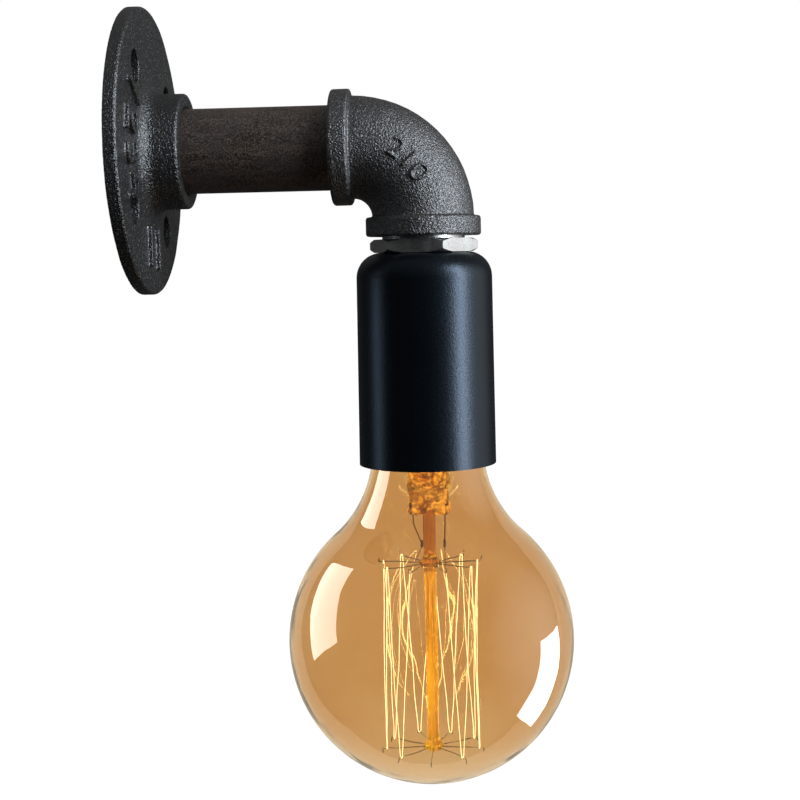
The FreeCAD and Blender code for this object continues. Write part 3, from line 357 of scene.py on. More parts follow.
class Finish(Nodes):
    """A material's node tree, with what only a surface needs."""

    def __init__(self, name):
        self.material = bpy.data.materials.new(name)
        self.material.use_nodes = True
        super().__init__(self.material.node_tree)
        self.output = self.add("ShaderNodeOutputMaterial")
        self.place = self.add("ShaderNodeTexCoord").outputs["Object"]

    def stretched(self, x, y, z):
        """The object's own coordinates, scaled along each axis."""
        node = self.add("ShaderNodeMapping")
        self.put(node.inputs["Vector"], self.place)
        node.inputs["Scale"].default_value = (x, y, z)
        return node.outputs["Vector"]

    def noise(self, millimetres, detail=2.0, rough=0.5, place=None):
        """Cloudy noise from 0 to 1 whose features are about this long."""
        node = self.add("ShaderNodeTexNoise")
        self.put(node.inputs["Vector"], place or self.place)
        node.inputs["Scale"].default_value = 1.0 / (millimetres * MM)
        node.inputs["Detail"].default_value = detail
        node.inputs["Roughness"].default_value = rough
        return node.outputs["Fac"]

    def axis(self, letter, output="Object"):
        """One coordinate of the object's own place or normal."""
        source = self.add("ShaderNodeTexCoord").outputs[output]
        node = self.add("ShaderNodeSeparateXYZ")
        self.put(node.inputs[0], source)
        return node.outputs[letter]

    def bump(self, height, millimetres, below=None):
        """Small relief whose height in millimetres is given."""
        node = self.add("ShaderNodeBump")
        self.put(node.inputs["Height"], height)
        node.inputs["Distance"].default_value = millimetres * MM
        if below is not None:
            self.put(node.inputs["Normal"], below)
        return node.outputs["Normal"]

    def shader(self, **sockets):
        """The main shader; a socket's words are joined by underscores."""
        node = self.add("ShaderNodeBsdfPrincipled")
        for name, value in sockets.items():
            self.put(node.inputs[name.replace("_", " ")], value)
        return node.outputs["BSDF"]

    def done(self, surface):
        """Give the surface to the output and return the material."""
        self.put(self.output.inputs["Surface"], surface)
        return self.material


def wear(piece, material):
    """Give an object one material."""
    piece.data.materials.clear()
    piece.data.materials.append(material)
    return piece


def dress(material, *nodes):
    """Give pieces that stay as they are their finish."""
    for node in nodes:
        wear(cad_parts[node], material)


def cast_iron(name, lit_face_tint=()):
    """Sand-cast iron: dark pits, paler crests, glints on the grain; with a face tint, every side but the
    flange's plate face is darkened as painted shade.
    """
    look = bpy.context.scene.wall_light_iron
    f = Finish(name)
    grain = f.noise(0.62, 2.0, 0.6, f.stretched(1.0, 0.5, 0.8) if lit_face_tint else None)
    swell = f.noise(1.3, 1.0)
    cloud = f.noise(14.0, 3.0)
    skin_colour = f.mix(f.span(grain, 0.54, 0.68), look.dark, look.light)
    skin_colour = f.mix(f.span(cloud, 0.35, 0.7, 0.0, 0.2), skin_colour, (0.024, 0.019, 0.015))
    # Painted shade: where the normal turns away from +X, the window's side, the skin is darkened 80%
    # toward the pits' colour; the plate's face, which faces +X, keeps the skin times the tint.
    if lit_face_tint:
        flat = f.span(f.axis("X", "Normal"), 0.55, 0.9)
        paler = f.mix(1.0, skin_colour, lit_face_tint, "MULTIPLY")
        skin_colour = f.mix(flat, f.mix(0.8, skin_colour, look.dark), paler)
    relief = f.bump(grain, 0.50, f.bump(swell, 0.10))
    gloss = 0.68 if lit_face_tint else 0.95
    return f.done(f.shader(Base_Color=skin_colour, Normal=relief, IOR=1.7, Specular_IOR_Level=gloss,
                           Roughness=f.span(grain, 0.35, 0.65, 0.52, 0.25)))


def mill_pipe():
    """Pipe skin: dark brown scale with pale specks, drawn lengthwise."""
    look = bpy.context.scene.wall_light_metal
    f = Finish("mill_pipe")
    fine = f.noise(0.42, 1.0)
    drawn = f.noise(1.6, 3.0, 0.55, f.stretched(0.12, 1.0, 1.0))
    cloud = f.noise(11.0, 3.0)
    speck = f.maths("ADD", f.maths("MULTIPLY", fine, 0.8), f.maths("MULTIPLY", drawn, 0.2))
    shade = f.mix(f.span(speck, 0.45, 0.60), look.pipe, look.pipe_light)
    shade = f.mix(f.span(cloud, 0.4, 0.7, 0.0, 0.5), shade, (0.030, 0.024, 0.023))
    relief = f.bump(drawn, 0.03, f.bump(fine, 0.035))
    return f.done(f.shader(Base_Color=shade, Normal=relief,
                           Roughness=f.span(cloud, 0.3, 0.7, 0.4, 0.52)))


def plated_steel():
    """Zinc plate: pale metal with fine dark pits and soft streaks."""
    look = bpy.context.scene.wall_light_metal
    f = Finish("plated_steel")
    fine = f.noise(0.4, 3.0)
    cloud = f.noise(4.0, 3.0)
    pits = f.span(fine, 0.28, 0.42)
    shade = f.mix(pits, (0.22, 0.21, 0.19), look.zinc)
    relief = f.bump(cloud, 0.03, f.bump(fine, 0.03))
    return f.done(f.shader(Base_Color=shade, Metallic=1.0, Normal=relief,
                           Roughness=f.span(cloud, 0.3, 0.7, 0.28, 0.42)))


def black_coat():
    """Black satin coat with a fine orange peel."""
    look = bpy.context.scene.wall_light_metal
    f = Finish("black_coat")
    peel = f.noise(0.9, 2.0)
    fine = f.noise(0.45, 2.0)
    cloud = f.noise(18.0, 2.0)
    shade = f.mix(f.span(cloud, 0.35, 0.65), look.cup, (0.0012, 0.0024, 0.0036))
    relief = f.bump(peel, 0.035, f.bump(fine, 0.02))
    return f.done(f.shader(Base_Color=shade, Normal=relief, Specular_IOR_Level=0.45,
                           Specular_Tint=(0.66, 0.80, 1.0),
                           Roughness=f.span(fine, 0.3, 0.7, 0.30, 0.38)))


def plain_metal(name, base, shine, metal=1.0):
    """Turned or drawn metal with faint clouds and scratches."""
    f = Finish(name)
    cloud = f.noise(3.0, 3.0)
    turned = f.noise(0.5, 2.0, 0.5, f.stretched(0.1, 0.1, 1.0))
    darker = tuple(0.72 * part for part in base)
    shade = f.mix(f.span(cloud, 0.3, 0.75), base, darker)
    return f.done(f.shader(Base_Color=shade, Metallic=metal, Normal=f.bump(turned, 0.02),
                           Roughness=f.span(cloud, 0.3, 0.7, shine, shine + 0.12)))


def plain_stuff(name, base, rough, grain=0.02, specular=0.5):
    """Porcelain, rubber, cement or dark glass: one colour with faint clouds and grain."""
    f = Finish(name)
    cloud = f.noise(5.0, 3.0)
    fine = f.noise(0.6, 2.0)
    darker = tuple(0.86 * part for part in base)
    shade = f.mix(f.span(cloud, 0.3, 0.7), base, darker)
    return f.done(f.shader(Base_Color=shade, Normal=f.bump(fine, grain), Specular_IOR_Level=specular,
                           Roughness=f.span(fine, 0.3, 0.7, rough, rough + 0.1)))


def see_through(f, glass, shadow_tint):
    """Glass that lets lamps through in its own tint."""
    clear = f.add("ShaderNodeBsdfTransparent")
    f.put(clear.inputs["Color"], shadow_tint)
    shadow = f.add("ShaderNodeLightPath").outputs["Is Shadow Ray"]
    return f.done(f.join(shadow, glass, clear.outputs[0]))


def amber_glass():
    """Blown amber glass of the globe."""
    look = bpy.context.scene.wall_light_glass
    f = Finish("amber_glass")
    cloud = f.noise(38.0, 2.0)
    wave = f.noise(9.0, 1.0, 0.4, f.stretched(1.0, 1.0, 0.35))
    shade = f.mix(f.span(cloud, 0.3, 0.7), look.tint, look.tint_deep)
    low = f.span(f.axis("Z"), GLOBE_Z - 0.98 * GLOBE_RADIUS, GLOBE_Z - 0.5 * GLOBE_RADIUS)
    shade = f.mix(low, look.tint_pale, shade)
    glass = f.shader(Base_Color=shade, Transmission_Weight=1.0, IOR=1.6, Specular_IOR_Level=1.0,
                     Roughness=0.0, Normal=f.bump(wave, 0.12))
    return see_through(f, glass, look.tint)


def clear_glass(name, tint, deep, size, streak, relief):
    """The tree of pressed or drawn glass: its cords run between a tint and a deeper one."""
    f = Finish(name)
    cords = f.noise(size, 2.0, 0.6, f.stretched(1.0, 1.0, streak))
    f.cords = f.span(cords, 0.38, 0.60)
    return f, {"Base_Color": f.mix(f.cords, deep, tint), "Transmission_Weight": 1.0, "IOR": 1.5,
               "Roughness": 0.0, "Normal": f.bump(cords, relief)}


def stem_glass():
    """Pressed stem: golden lumps between dark facets; the lumps glow as painted highlights."""
    f, sockets = clear_glass("stem_glass", (1.0, 0.80, 0.30), (0.42, 0.16, 0.02), 3.6, 0.7, 0.9)
    # Painted highlights: lumps picked by noise glow golden with a light of their own.
    painted_glints = f.span(f.noise(2.4, 2.0), 0.54, 0.66, 0.0, 0.8)
    return see_through(f, f.shader(Emission_Color=(1.0, 0.62, 0.12), Emission_Strength=painted_glints, **sockets),
                       (0.97, 0.70, 0.30))


def rod_glass():
    """Drawn rod: streaks of deep amber, glowing between the two rings of hooks."""
    f, sockets = clear_glass("rod_glass", (0.86, 0.50, 0.10), (0.56, 0.24, 0.05), 1.5, 0.05, 0.3)
    lit = f.span(f.axis("Z"), UPPER_RING, UPPER_RING - 4.0 * MM, 0.0, 0.5)
    glow = f.maths("MULTIPLY", lit, f.span(f.cords, 0.0, 1.0, 0.45, 1.3))
    return see_through(f, f.shader(Emission_Color=(0.55, 0.44, 0.0), Emission_Strength=glow, **sockets),
                       (0.93, 0.56, 0.28))


def glowing_wire():
    """The hot wire, uneven along its coils, with a glare of its own where the glass mirrors it."""
    look = bpy.context.scene.wall_light_glow
    f = Finish("glowing_wire")
    coil = f.noise(1.2, 2.0)
    rays = f.add("ShaderNodeLightPath").outputs
    mirrored = f.maths("SUBTRACT", rays["Is Glossy Ray"], rays["Is Transmission Ray"])
    glare = f.span(mirrored, 0.0, 1.0, look.strength, look.glare)
    strength = f.maths("MULTIPLY", glare, f.span(coil, 0.3, 0.7, 0.75, 1.2))
    tint = f.mix(f.span(mirrored, 0.0, 1.0), look.warm, (0.90, 1.0, 0.60))
    return f.done(f.shader(Base_Color=look.warm, Emission_Color=tint, Roughness=0.6,
                           Emission_Strength=strength))


# Castings

# Sizes of the unevenness of a cast skin, in millimetres.
SWELL_SIZE = 9.0
SAND_SIZE = 1.3
DUST_SIZE = 0.7


def font_mesh(text, height, rise, weight):
    """Solid numerals: height tall, standing rise above and MARK_ROOT below their own plane."""
    curve = bpy.data.curves.new("numerals", "FONT")
    curve.body = text
    curve.size = height / FONT_SHARE
    curve.align_x = "CENTER"
    curve.align_y = "CENTER"
    curve.extrude = (rise + MARK_ROOT) / 2
    curve.offset = weight * height
    curve.resolution_u = 6
    holder = new_piece("numerals", curve)
    bpy.context.view_layer.update()
    mesh = bpy.data.meshes.new_from_object(holder.evaluated_get(bpy.context.evaluated_depsgraph_get()))
    bpy.data.objects.remove(holder)
    bpy.data.curves.remove(curve)
    bm = bmesh.new()
    bm.from_mesh(mesh)
    bpy.data.meshes.remove(mesh)
    bmesh.ops.remove_doubles(bm, verts=bm.verts, dist=WELD)
    bmesh.ops.subdivide_edges(bm, edges=[e for e in bm.edges if e.calc_length() > height / 12], cuts=2)
    for vertex in bm.verts:
        vertex.co.z += (rise - MARK_ROOT) / 2
    return bm


def bar_mesh(width, tall, rise):
    """A solid raised bar about its own plane."""
    bm = bmesh.new()
    bmesh.ops.create_cube(bm, size=1.0)
    for vertex in bm.verts:
        vertex.co = Vector((vertex.co.x * width, vertex.co.y * tall,
                            vertex.co.z * (rise + MARK_ROOT) + (rise - MARK_ROOT) / 2))
    return bm


def lay(target, mark, where):
    """Add a mark's mesh to a casting's, with each point moved by where(point)."""
    for vertex in mark.verts:
        vertex.co = where(vertex.co.copy())
    mesh = bpy.data.meshes.new("mark")
    mark.to_mesh(mesh)
    mark.free()
    target.from_mesh(mesh)
    bpy.data.meshes.remove(mesh)


def cast(name, node, marks, seed):
    """A casting's skin: the frame's solid with its marks, softened corners, swells and grain."""
    look = bpy.context.scene.wall_light_iron
    bm = bmesh.new()
    bm.from_mesh(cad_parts[node].data)
    bmesh.ops.remove_doubles(bm, verts=bm.verts, dist=WELD)
    for mark, where in marks:
        lay(bm, mark, where)
    mesh = bpy.data.meshes.new(name)
    bm.to_mesh(mesh)
    bm.free()
    rough = new_piece(name, mesh)
    voxels = rough.modifiers.new("voxels", "REMESH")
    voxels.mode = "VOXEL"
    voxels.voxel_size = look.voxel
    soften = rough.modifiers.new("soften", "SMOOTH")
    soften.factor = 0.5
    soften.iterations = 2
    bpy.context.view_layer.update()
    graph = bpy.context.evaluated_depsgraph_get()
    smooth = bpy.data.meshes.new_from_object(rough.evaluated_get(graph))
    rough.modifiers.clear()
    rough.data = smooth
    smooth.name = name
    roughen(smooth, look.lump, look.grain, seed)
    for face in smooth.polygons:
        face.use_smooth = True
    return rough


def roughen(mesh, lump, grain, seed):
    """Move each point along its normal by slow swells and sand grain."""
    shift = Vector((seed, 2 * seed, 3 * seed))
    normals = [vertex.normal.copy() for vertex in mesh.vertices]
    for vertex, normal in zip(mesh.vertices, normals):
        place = vertex.co / MM
        swell = noise.noise(place / SWELL_SIZE + shift)
        sand = noise.noise(place / SAND_SIZE + shift) + 0.6 * noise.noise(place / DUST_SIZE + shift)
        vertex.co += normal * (lump * swell + grain * sand)
    mesh.update()


FONT_SHARE = 0.69
MARK_ROOT = 1.0 * MM
FLANGE_FACE = 4.2 * MM
NUMERAL_HEIGHT = 12.5 * MM
NUMERAL_CIRCLE = 30.5 * MM
NUMERAL_ANGLES = (35.0, 14.5, -4.0, -22.0)
BAR_PLACES = ((-9.0, -30.0), (1.5, -31.0))
BAR_WIDTH = 2.6 * MM
BAR_HEIGHT = 13.0 * MM


def flange_marks():
    """Numerals in a column down the near side of the plate, and two raised bars below."""
    look = bpy.context.scene.wall_light_iron
    marks = []
    for numeral, degrees in zip("1234", NUMERAL_ANGLES):
        turn = math.radians(degrees)
        centre = Vector((FLANGE_FACE, -NUMERAL_CIRCLE * math.cos(turn), NUMERAL_CIRCLE * math.sin(turn)))
        inward = -Vector((0.0, centre.y, centre.z)).normalized()
        down = Vector((1.0, 0.0, 0.0)).cross(inward)

        def where(point, centre=centre, inward=inward, down=down):
            return centre - down * point.x + inward * point.y + Vector((point.z, 0.0, 0.0))

        marks.append((font_mesh(numeral, NUMERAL_HEIGHT, look.face_rise, 0.0), where))
    for y, z in BAR_PLACES:

        def along(point, y=y, z=z):
            return Vector((FLANGE_FACE + point.z, y * MM + point.x, z * MM + point.y))

        marks.append((bar_mesh(BAR_WIDTH, BAR_HEIGHT, look.face_rise), along))
    return marks


ELBOW_BEND = 22.3 * MM
ELBOW_RADIUS = 16.2 * MM
ELBOW_MARK_ANGLE = 47.6
ELBOW_MARK_TILT = 11.0
ELBOW_MARK_HEIGHT = 6.2 * MM
ELBOW_MARK_WEIGHT = -0.014


def elbow_marks():
    """A plain number on the near side of the bend, laid on its round."""
    look = bpy.context.scene.wall_light_iron
    middle = math.radians(ELBOW_MARK_ANGLE)
    tilt = math.radians(ELBOW_MARK_TILT)
    hinge = Vector((DROP_X - ELBOW_BEND, 0.0, -ELBOW_BEND))

    def where(point):
        turn = middle + point.x / ELBOW_BEND
        lean = tilt + point.y / ELBOW_RADIUS
        outward = Vector((math.sin(turn), 0.0, math.cos(turn)))
        reach = ELBOW_RADIUS + point.z
        return (hinge + outward * ELBOW_BEND
                + (outward * math.sin(lean) + Vector((0.0, -1.0, 0.0)) * math.cos(lean)) * reach)

    return [(font_mesh("210", ELBOW_MARK_HEIGHT, look.mark_rise, ELBOW_MARK_WEIGHT), where)]


# Bulb parts

def globe_outline():
    """Outline of the globe's wall, from its lowest outer point round to its lowest inner one."""
    look = bpy.context.scene.wall_light_glass
    neck, blend, shoulder = look.neck_radius, look.neck_blend, look.shoulder
    apart = math.degrees(math.acos((neck + blend) / (GLOBE_RADIUS + blend)))
    blend_z = (GLOBE_RADIUS + blend) * math.sin(math.radians(apart))
    neck_z = GLOBE_Z + blend_z
    middle = neck - shoulder
    sides = []
    for wall in (0.0, look.wall):
        line = arc((0.0, GLOBE_Z), GLOBE_RADIUS - wall, -90.0, apart, 72)
        line += arc((neck + blend, neck_z), blend + wall, 180.0 + apart, 180.0, 24)[1:]
        line += arc((middle, neck_z), shoulder - wall, 0.0, 90.0, 12)[1:]
        seal = look.seal_radius - wall
        line += [(seal, neck_z + shoulder - wall), (seal, SEAL_TOP)]
        sides.append(line)
    outer, inner = sides
    return [(0.0, outer[0][1])] + outer[1:] + inner[:0:-1] + [(0.0, inner[0][1])]


def globe_mesh():
    """The globe's wall, with an inner face that waves a little."""
    look = bpy.context.scene.wall_light_glass
    inner_limit = 0.5 * look.wall

    def place(section, turn):
        radius, height = section
        depth = math.hypot(radius, height - GLOBE_Z)
        spot = Vector((math.cos(turn) * 3.0, math.sin(turn) * 3.0, (height - GLOBE_Z) / (11 * MM)))
        if height <= GLOBE_Z + 0.8 * GLOBE_RADIUS and depth <= GLOBE_RADIUS - inner_limit:
            radius += look.wave * noise.noise(spot)
        return around(radius, turn, height)

    return revolve("globe", globe_outline(), 192, place)


FLARE_HEIGHT = 8.0 * MM
FLARE_CURVE = 7.0 * MM
FLARE_GAP = 0.05 * MM
PRESS_HEIGHT = 12.5 * MM
TUBE_FOOT = 4.0 * MM
STEM_WALL = 1.1 * MM
HOLLOW_FLOOR = 8.5 * MM
CRIMP = 0.5 * MM
CRIMP_SIZE = 2.6 * MM
SCALLOP = 0.45 * MM
SCALLOP_SIZE = 1.6 * MM
SCALLOP_TOP = 2.5 * MM


def stem_sections():
    """Sections of the stem, (half width, height, half depth, squareness), up outside, down inside."""
    look = bpy.context.scene.wall_light_glass
    flare_low = SEAL_TOP - FLARE_HEIGHT
    flare = look.seal_radius - look.wall - FLARE_GAP
    press_top = STEM_LOW + PRESS_HEIGHT
    outer = [(flare, SEAL_TOP, flare, 2.0), (flare, SEAL_TOP - 1.0 * MM, flare, 2.0)]
    tube = look.stem_radius
    for share in (0.8, 0.6, 0.4, 0.2, 0.0):
        reach = tube + (flare - tube) * share ** 2
        outer.append((reach, flare_low + FLARE_CURVE * share, reach, 2.0))
    outer.append((tube, press_top + TUBE_FOOT, tube, 2.0))
    steps = 26
    for step in range(steps + 1):
        share = step / steps
        flat = min(1.0, share / 0.38)
        flat = flat * flat * (3 - 2 * flat)
        wide = tube + (look.press_width - tube) * flat + 0.35 * MM * math.sin(share * 9.0)
        deep = tube + (look.press_depth - tube) * flat + 0.25 * MM * math.cos(share * 13.0)
        close = max(0.0, (share - 0.9) / 0.1)
        shrink = math.sqrt(max(0.0, 1.0 - 0.6 * close * close))
        outer.append((wide * shrink, press_top - PRESS_HEIGHT * share, deep * shrink, 2.0 + 2.2 * flat))
    bore = tube - STEM_WALL
    hollow_low = STEM_LOW + HOLLOW_FLOOR
    inner = [(0.0, hollow_low, 0.0, 2.0)]
    for share in (0.3, 0.6, 0.85, 1.0):
        inner.append((bore * share * 0.8, hollow_low + 1.6 * MM * share ** 3,
                      (look.press_depth - 0.4 * MM) * share, 2.0))
    inner += [(bore, press_top + TUBE_FOOT, bore, 2.0), (bore, flare_low, bore, 2.0),
              (flare - STEM_WALL, SEAL_TOP, flare - STEM_WALL, 2.0)]
    return [(0.0, STEM_LOW, 0.0, 2.0)] + outer[::-1] + inner[::-1]


def stem_mesh():
    """The stem: flared in the neck, a tube, then a flattened and crimped press."""

    def place(section, turn):
        wide, height, deep, power = section
        cosine, sine = math.cos(turn), math.sin(turn)
        x = math.copysign(abs(cosine) ** (2 / power), cosine) * wide
        y = math.copysign(abs(sine) ** (2 / power), sine) * deep
        spot = Vector((x, y, height)) / CRIMP_SIZE
        crimp = CRIMP * noise.noise(spot) if height < STEM_LOW + PRESS_HEIGHT else 0.0
        low = height < STEM_LOW + SCALLOP_TOP
        scallop = SCALLOP * math.cos(x / SCALLOP_SIZE) if low else 0.0
        return DROP_X + x * (1 + crimp / wide), y * (1 + crimp / wide), height + scallop

    return revolve("stem", stem_sections(), 96, place, 60.0)


ROD_ROOT = 1.5 * MM
ROD_TIP = 1.3 * MM
BEAD_HEIGHT = 1.75 * MM
RIB_HEIGHT = 1.1 * MM
RIB_DEPTH = 0.22 * MM


def near_rings(height, reach, count):
    """How near a height is to the two rings of hooks, by sum or max."""
    return count(math.exp(-((height - ring) / reach) ** 2) for ring in (UPPER_RING, LOWER_RING))


def rod_mesh():
    """The glass rod with a melted bead at each ring of hooks."""
    look = bpy.context.scene.wall_light_glass
    count = bpy.context.scene.wall_light_glow.strands
    top = STEM_LOW + ROD_ROOT
    low = ROD_LOW
    outline = [(0.0, low)]
    steps = 150
    for step in range(steps + 1):
        height = low + (top - low) * step / steps
        bead = near_rings(height, BEAD_HEIGHT, sum)
        radius = look.rod_radius + (look.bead_radius - look.rod_radius) * bead
        radius *= min(1.0, math.sqrt(max(0.02, (height - low) / ROD_TIP)))
        radius += 0.08 * MM * noise.noise(Vector((0.0, 0.0, height / (3.0 * MM))))
        outline.append((radius, height))
    outline.append((0.0, top))

    def place(section, turn):
        radius, height = section
        rib = RIB_DEPTH * near_rings(height, RIB_HEIGHT, max) * math.cos(count * turn)
        return around(radius + rib, turn, height)

    return revolve("rod", outline, 72, place)


def hook_turns(level):
    """Angles of the hooks on the upper (0) or lower (1) ring."""
    look = bpy.context.scene.wall_light_glow
    step = 2 * math.pi / look.strands
    return [look.first_hook + step * (number + 0.5 * level) for number in range(look.strands)]


def hook_mesh(name, height, way, level, seed):
    """Hand-bent wires that stand out from a bead and end in a hook."""
    look = bpy.context.scene.wall_light_glow
    draw = random.Random(seed)
    root = bpy.context.scene.wall_light_glass.bead_radius - 0.9 * MM
    bm = bmesh.new()
    for turn in hook_turns(level):
        reach = look.cage_radius + look.hook * draw.uniform(0.5, 0.95)
        lift = draw.uniform(-0.35, 0.35) * MM
        middle = around(reach * draw.uniform(0.45, 0.6), turn + draw.uniform(-0.04, 0.04), height + lift)
        end = around(reach, turn, height)
        tip = end + Vector((0.0, 0.0, way * look.hook * draw.uniform(0.6, 1.0)))
        tip += (end - around(0.0, turn, height)).normalized() * draw.uniform(-0.2, 0.6) * MM
        corners = [around(root, turn, height), middle, end, tip]
        add_tube(bm, path(corners, 0.3 * MM), look.hook_wire, 8)
    return from_bmesh(name, bm)


def strand_corners():
    """Corners of the one long wire: two at each hook, up and down round the cage."""
    look = bpy.context.scene.wall_light_glow
    corners = []
    for upper, lower in zip(hook_turns(0), hook_turns(1)):
        for turn, height, rise in ((upper, UPPER_RING, look.bend), (lower, LOWER_RING, -look.bend)):
            middle = around(look.cage_radius, turn, height + rise)
            aside = Vector((-math.sin(turn), math.cos(turn), 0.0)) * look.bend
            corners += [middle - aside, middle + aside]
    return corners[1:-3]


def filament_mesh():
    """The glowing wire over the hooks, coiled so finely that it shows as a ripple."""
    look = bpy.context.scene.wall_light_glow
    corners = strand_corners()
    points = spaced(path(corners, 0.94 * look.bend), 0.3 * MM)
    draw = random.Random(7)
    sways = [Vector((draw.uniform(-1, 1), draw.uniform(-1, 1), 0.0)) * look.bow
             for _ in range(2 * look.strands)]
    tall = UPPER_RING - LOWER_RING
    strand = 0
    rising = None
    moved = []
    for before, point in zip([points[0]] + points, points):
        share = min(1.0, max(0.0, (point.z - LOWER_RING) / tall))
        upward = point.z > before.z
        if rising is not None and upward != rising and 0.02 < abs(share - 0.5):
            strand = min(strand + 1, len(sways) - 1)
        rising = upward
        moved.append(point + sways[strand] * math.sin(math.pi * share) ** 1.5)

    def ripple(here):
        return look.wire * (1.0 + 0.18 * math.sin(here * 2.1))

    bm = bmesh.new()
    add_tube(bm, moved, ripple, 6)
    return from_bmesh("filament_coil", bm)


# Corners of each lead from press to crimp, in millimetres: across, forward, above the stem's foot.
LEADS = (((5.3, 0.0, 6.0), (5.141, -0.4, -3.0), (5.0, -1.2, -10.0)),
         ((-5.3, 0.0, 6.0), (-5.141, -0.4, -3.0), (-2.4, -1.2, -10.0)))
LEAD_BEND = 3.0 * MM
LEAD_WIRE = 0.2 * MM
TAIL_WIRE = 0.11 * MM
CRIMP_WIRE = 0.42 * MM


def lead_mesh():
    """Two lead wires out of the press, each with its crimp and a thin hot tail to the cage."""
    corners = strand_corners()
    bm = bmesh.new()
    crimps = []
    for lead, end in zip(LEADS, (corners[0], corners[-1])):
        points = [Vector((DROP_X + x * MM, y * MM, STEM_LOW + z * MM)) for x, y, z in lead]
        add_tube(bm, path(points, LEAD_BEND, 10), LEAD_WIRE, 10)
        low = points[-1]
        tail = [low + Vector((0, 0, 1.2 * MM)), low - Vector((0, 0, 0.8 * MM)), end]
        add_tube(bm, path(tail, 0.4 * MM), TAIL_WIRE, 8)
        crimps.append(low)
    for low in crimps:
        add_tube(bm, [low + Vector((0, 0, 1.3 * MM)), low, low - Vector((0.1 * MM, 0, 1.0 * MM))],
                 CRIMP_WIRE, 10)
    return from_bmesh("leads", bm)


# Stage

# Lamps for all but the glass: name, place, width, height, share of the brightness and tint.
WINDOWS = (
    ("right_window", (1.38, -0.60, 0.30), 0.5, 1.7, 1.0, (0.80, 0.89, 1.0)),
    ("left_window", (-1.3, -0.1, 0.1), 0.3, 1.4, 0.16, (0.70, 0.84, 1.0)),
)
WINDOW_AIM = (DROP_X, 0.0, -0.05)

# Lamps for the glass: name, way from the globe's centre, width, height, tint and turn in degrees.
PANES = (
    ("left_pane", (-0.959, 0.167, 0.236), 0.56, 0.86, (1.0, 0.95, 0.85), 31.0),
    ("right_pane", (0.868, 0.305, -0.412), 0.50, 0.76, (0.95, 0.97, 1.0), 2.0),
    ("room_behind", (0.0, 0.95, -0.40), 3.2, 3.2, (1.0, 0.84, 0.62), 0.0),
)


def lamp(name, place, aim, wide, tall, radiance, tint, only, roll=0.0):
    """A soft window: an area lamp of a plain brightness, which lights only some pieces."""
    data = bpy.data.lights.new(name, "AREA")
    data.shape = "RECTANGLE"
    data.size = wide
    data.size_y = tall
    data.energy = radiance * math.pi * wide * tall
    data.color = tint
    holder = new_piece(name, data)
    holder.location = place
    holder.rotation_mode = "QUATERNION"
    facing = (Vector(aim) - Vector(place)).to_track_quat("-Z", "Y")
    holder.rotation_quaternion = facing @ Quaternion((0.0, 0.0, 1.0), math.radians(roll))
    holder.visible_camera = False
    holder.visible_transmission = False
    holder.light_linking.receiver_collection = only
    return holder


def make_world():
    """A white room to look at, and a softer one, brighter above, that lights the pieces."""
    look = bpy.context.scene.wall_light_stage
    world = bpy.data.worlds.new("room")
    bpy.context.scene.world = world
    world.use_nodes = True
    f = Nodes(world.node_tree)
    output = f.add("ShaderNodeOutputWorld")
    direction = f.add("ShaderNodeTexCoord").outputs["Generated"]
    split = f.add("ShaderNodeSeparateXYZ")
    f.put(split.inputs[0], direction)
    rays = f.add("ShaderNodeLightPath").outputs
    soft = f.span(split.outputs["Z"], -0.2, 0.9, look.ground, look.sky)
    shown = f.maths("ADD", f.span(split.outputs["Y"], -0.2, 0.9, 0.006, 0.05),
                    f.span(split.outputs["Z"], 0.1, 0.95, 0.0, 0.15))
    shown = f.maths("ADD", shown, f.span(split.outputs["X"], 0.72, 1.0, 0.0, 1.1))
    level = f.choose(rays["Is Glossy Ray"], soft, shown)
    light = f.add("ShaderNodeBackground")
    f.put(light.inputs["Color"], (1.0, 1.0, 1.0))
    f.put(light.inputs["Strength"], f.choose(f.seen(rays), level, 1.0))
    f.put(output.inputs["Surface"], light.outputs[0])


def floor_finish():
    """Pale floor: white to look at, with the pieces' soft shadow, and clear from below."""
    f = Finish("pale_floor")
    seen = f.seen(f.add("ShaderNodeLightPath").outputs)
    cloud = f.noise(900.0, 1.0)
    matt = f.add("ShaderNodeBsdfDiffuse")
    pale = f.mix(cloud, (0.50, 0.50, 0.50), (0.52, 0.52, 0.52))
    f.put(matt.inputs["Color"], f.mix(seen, (0.08, 0.08, 0.08), pale))
    glow = f.add("ShaderNodeEmission")
    f.put(glow.inputs["Strength"], f.maths("MULTIPLY", seen, 0.76))
    both = f.fill(f.add("ShaderNodeAddShader"), (matt.outputs[0], glow.outputs[0]))
    clear = f.add("ShaderNodeBsdfTransparent")
    below = f.add("ShaderNodeNewGeometry").outputs["Backfacing"]
    return f.done(f.join(below, both, clear.outputs[0]))


def make_camera():
    """The photograph's camera."""
    look = bpy.context.scene.wall_light_stage
    data = bpy.data.cameras.new("camera")
    data.lens = look.camera_lens
    data.sensor_width = 36.0
    data.clip_start = 0.01
    data.clip_end = 50.0
    camera = new_piece("camera", data)
    yaw, pitch, roll = look.camera_yaw, look.camera_pitch, look.camera_roll
    ahead = Vector((math.sin(yaw) * math.cos(pitch), math.cos(yaw) * math.cos(pitch), math.sin(pitch)))
    level = Vector((math.cos(yaw), -math.sin(yaw), 0.0))
    upright = level.cross(ahead)
    right = level * math.cos(roll) + upright * math.sin(roll)
    up = upright * math.cos(roll) - level * math.sin(roll)
    turn = Matrix((right, up, -ahead)).transposed().to_4x4()
    camera.matrix_world = Matrix.Translation(Vector(look.camera_place)) @ turn
    bpy.context.scene.camera = camera


GLASS_PIECES = ("globe_glass", "stem_glass", "rod_glass")


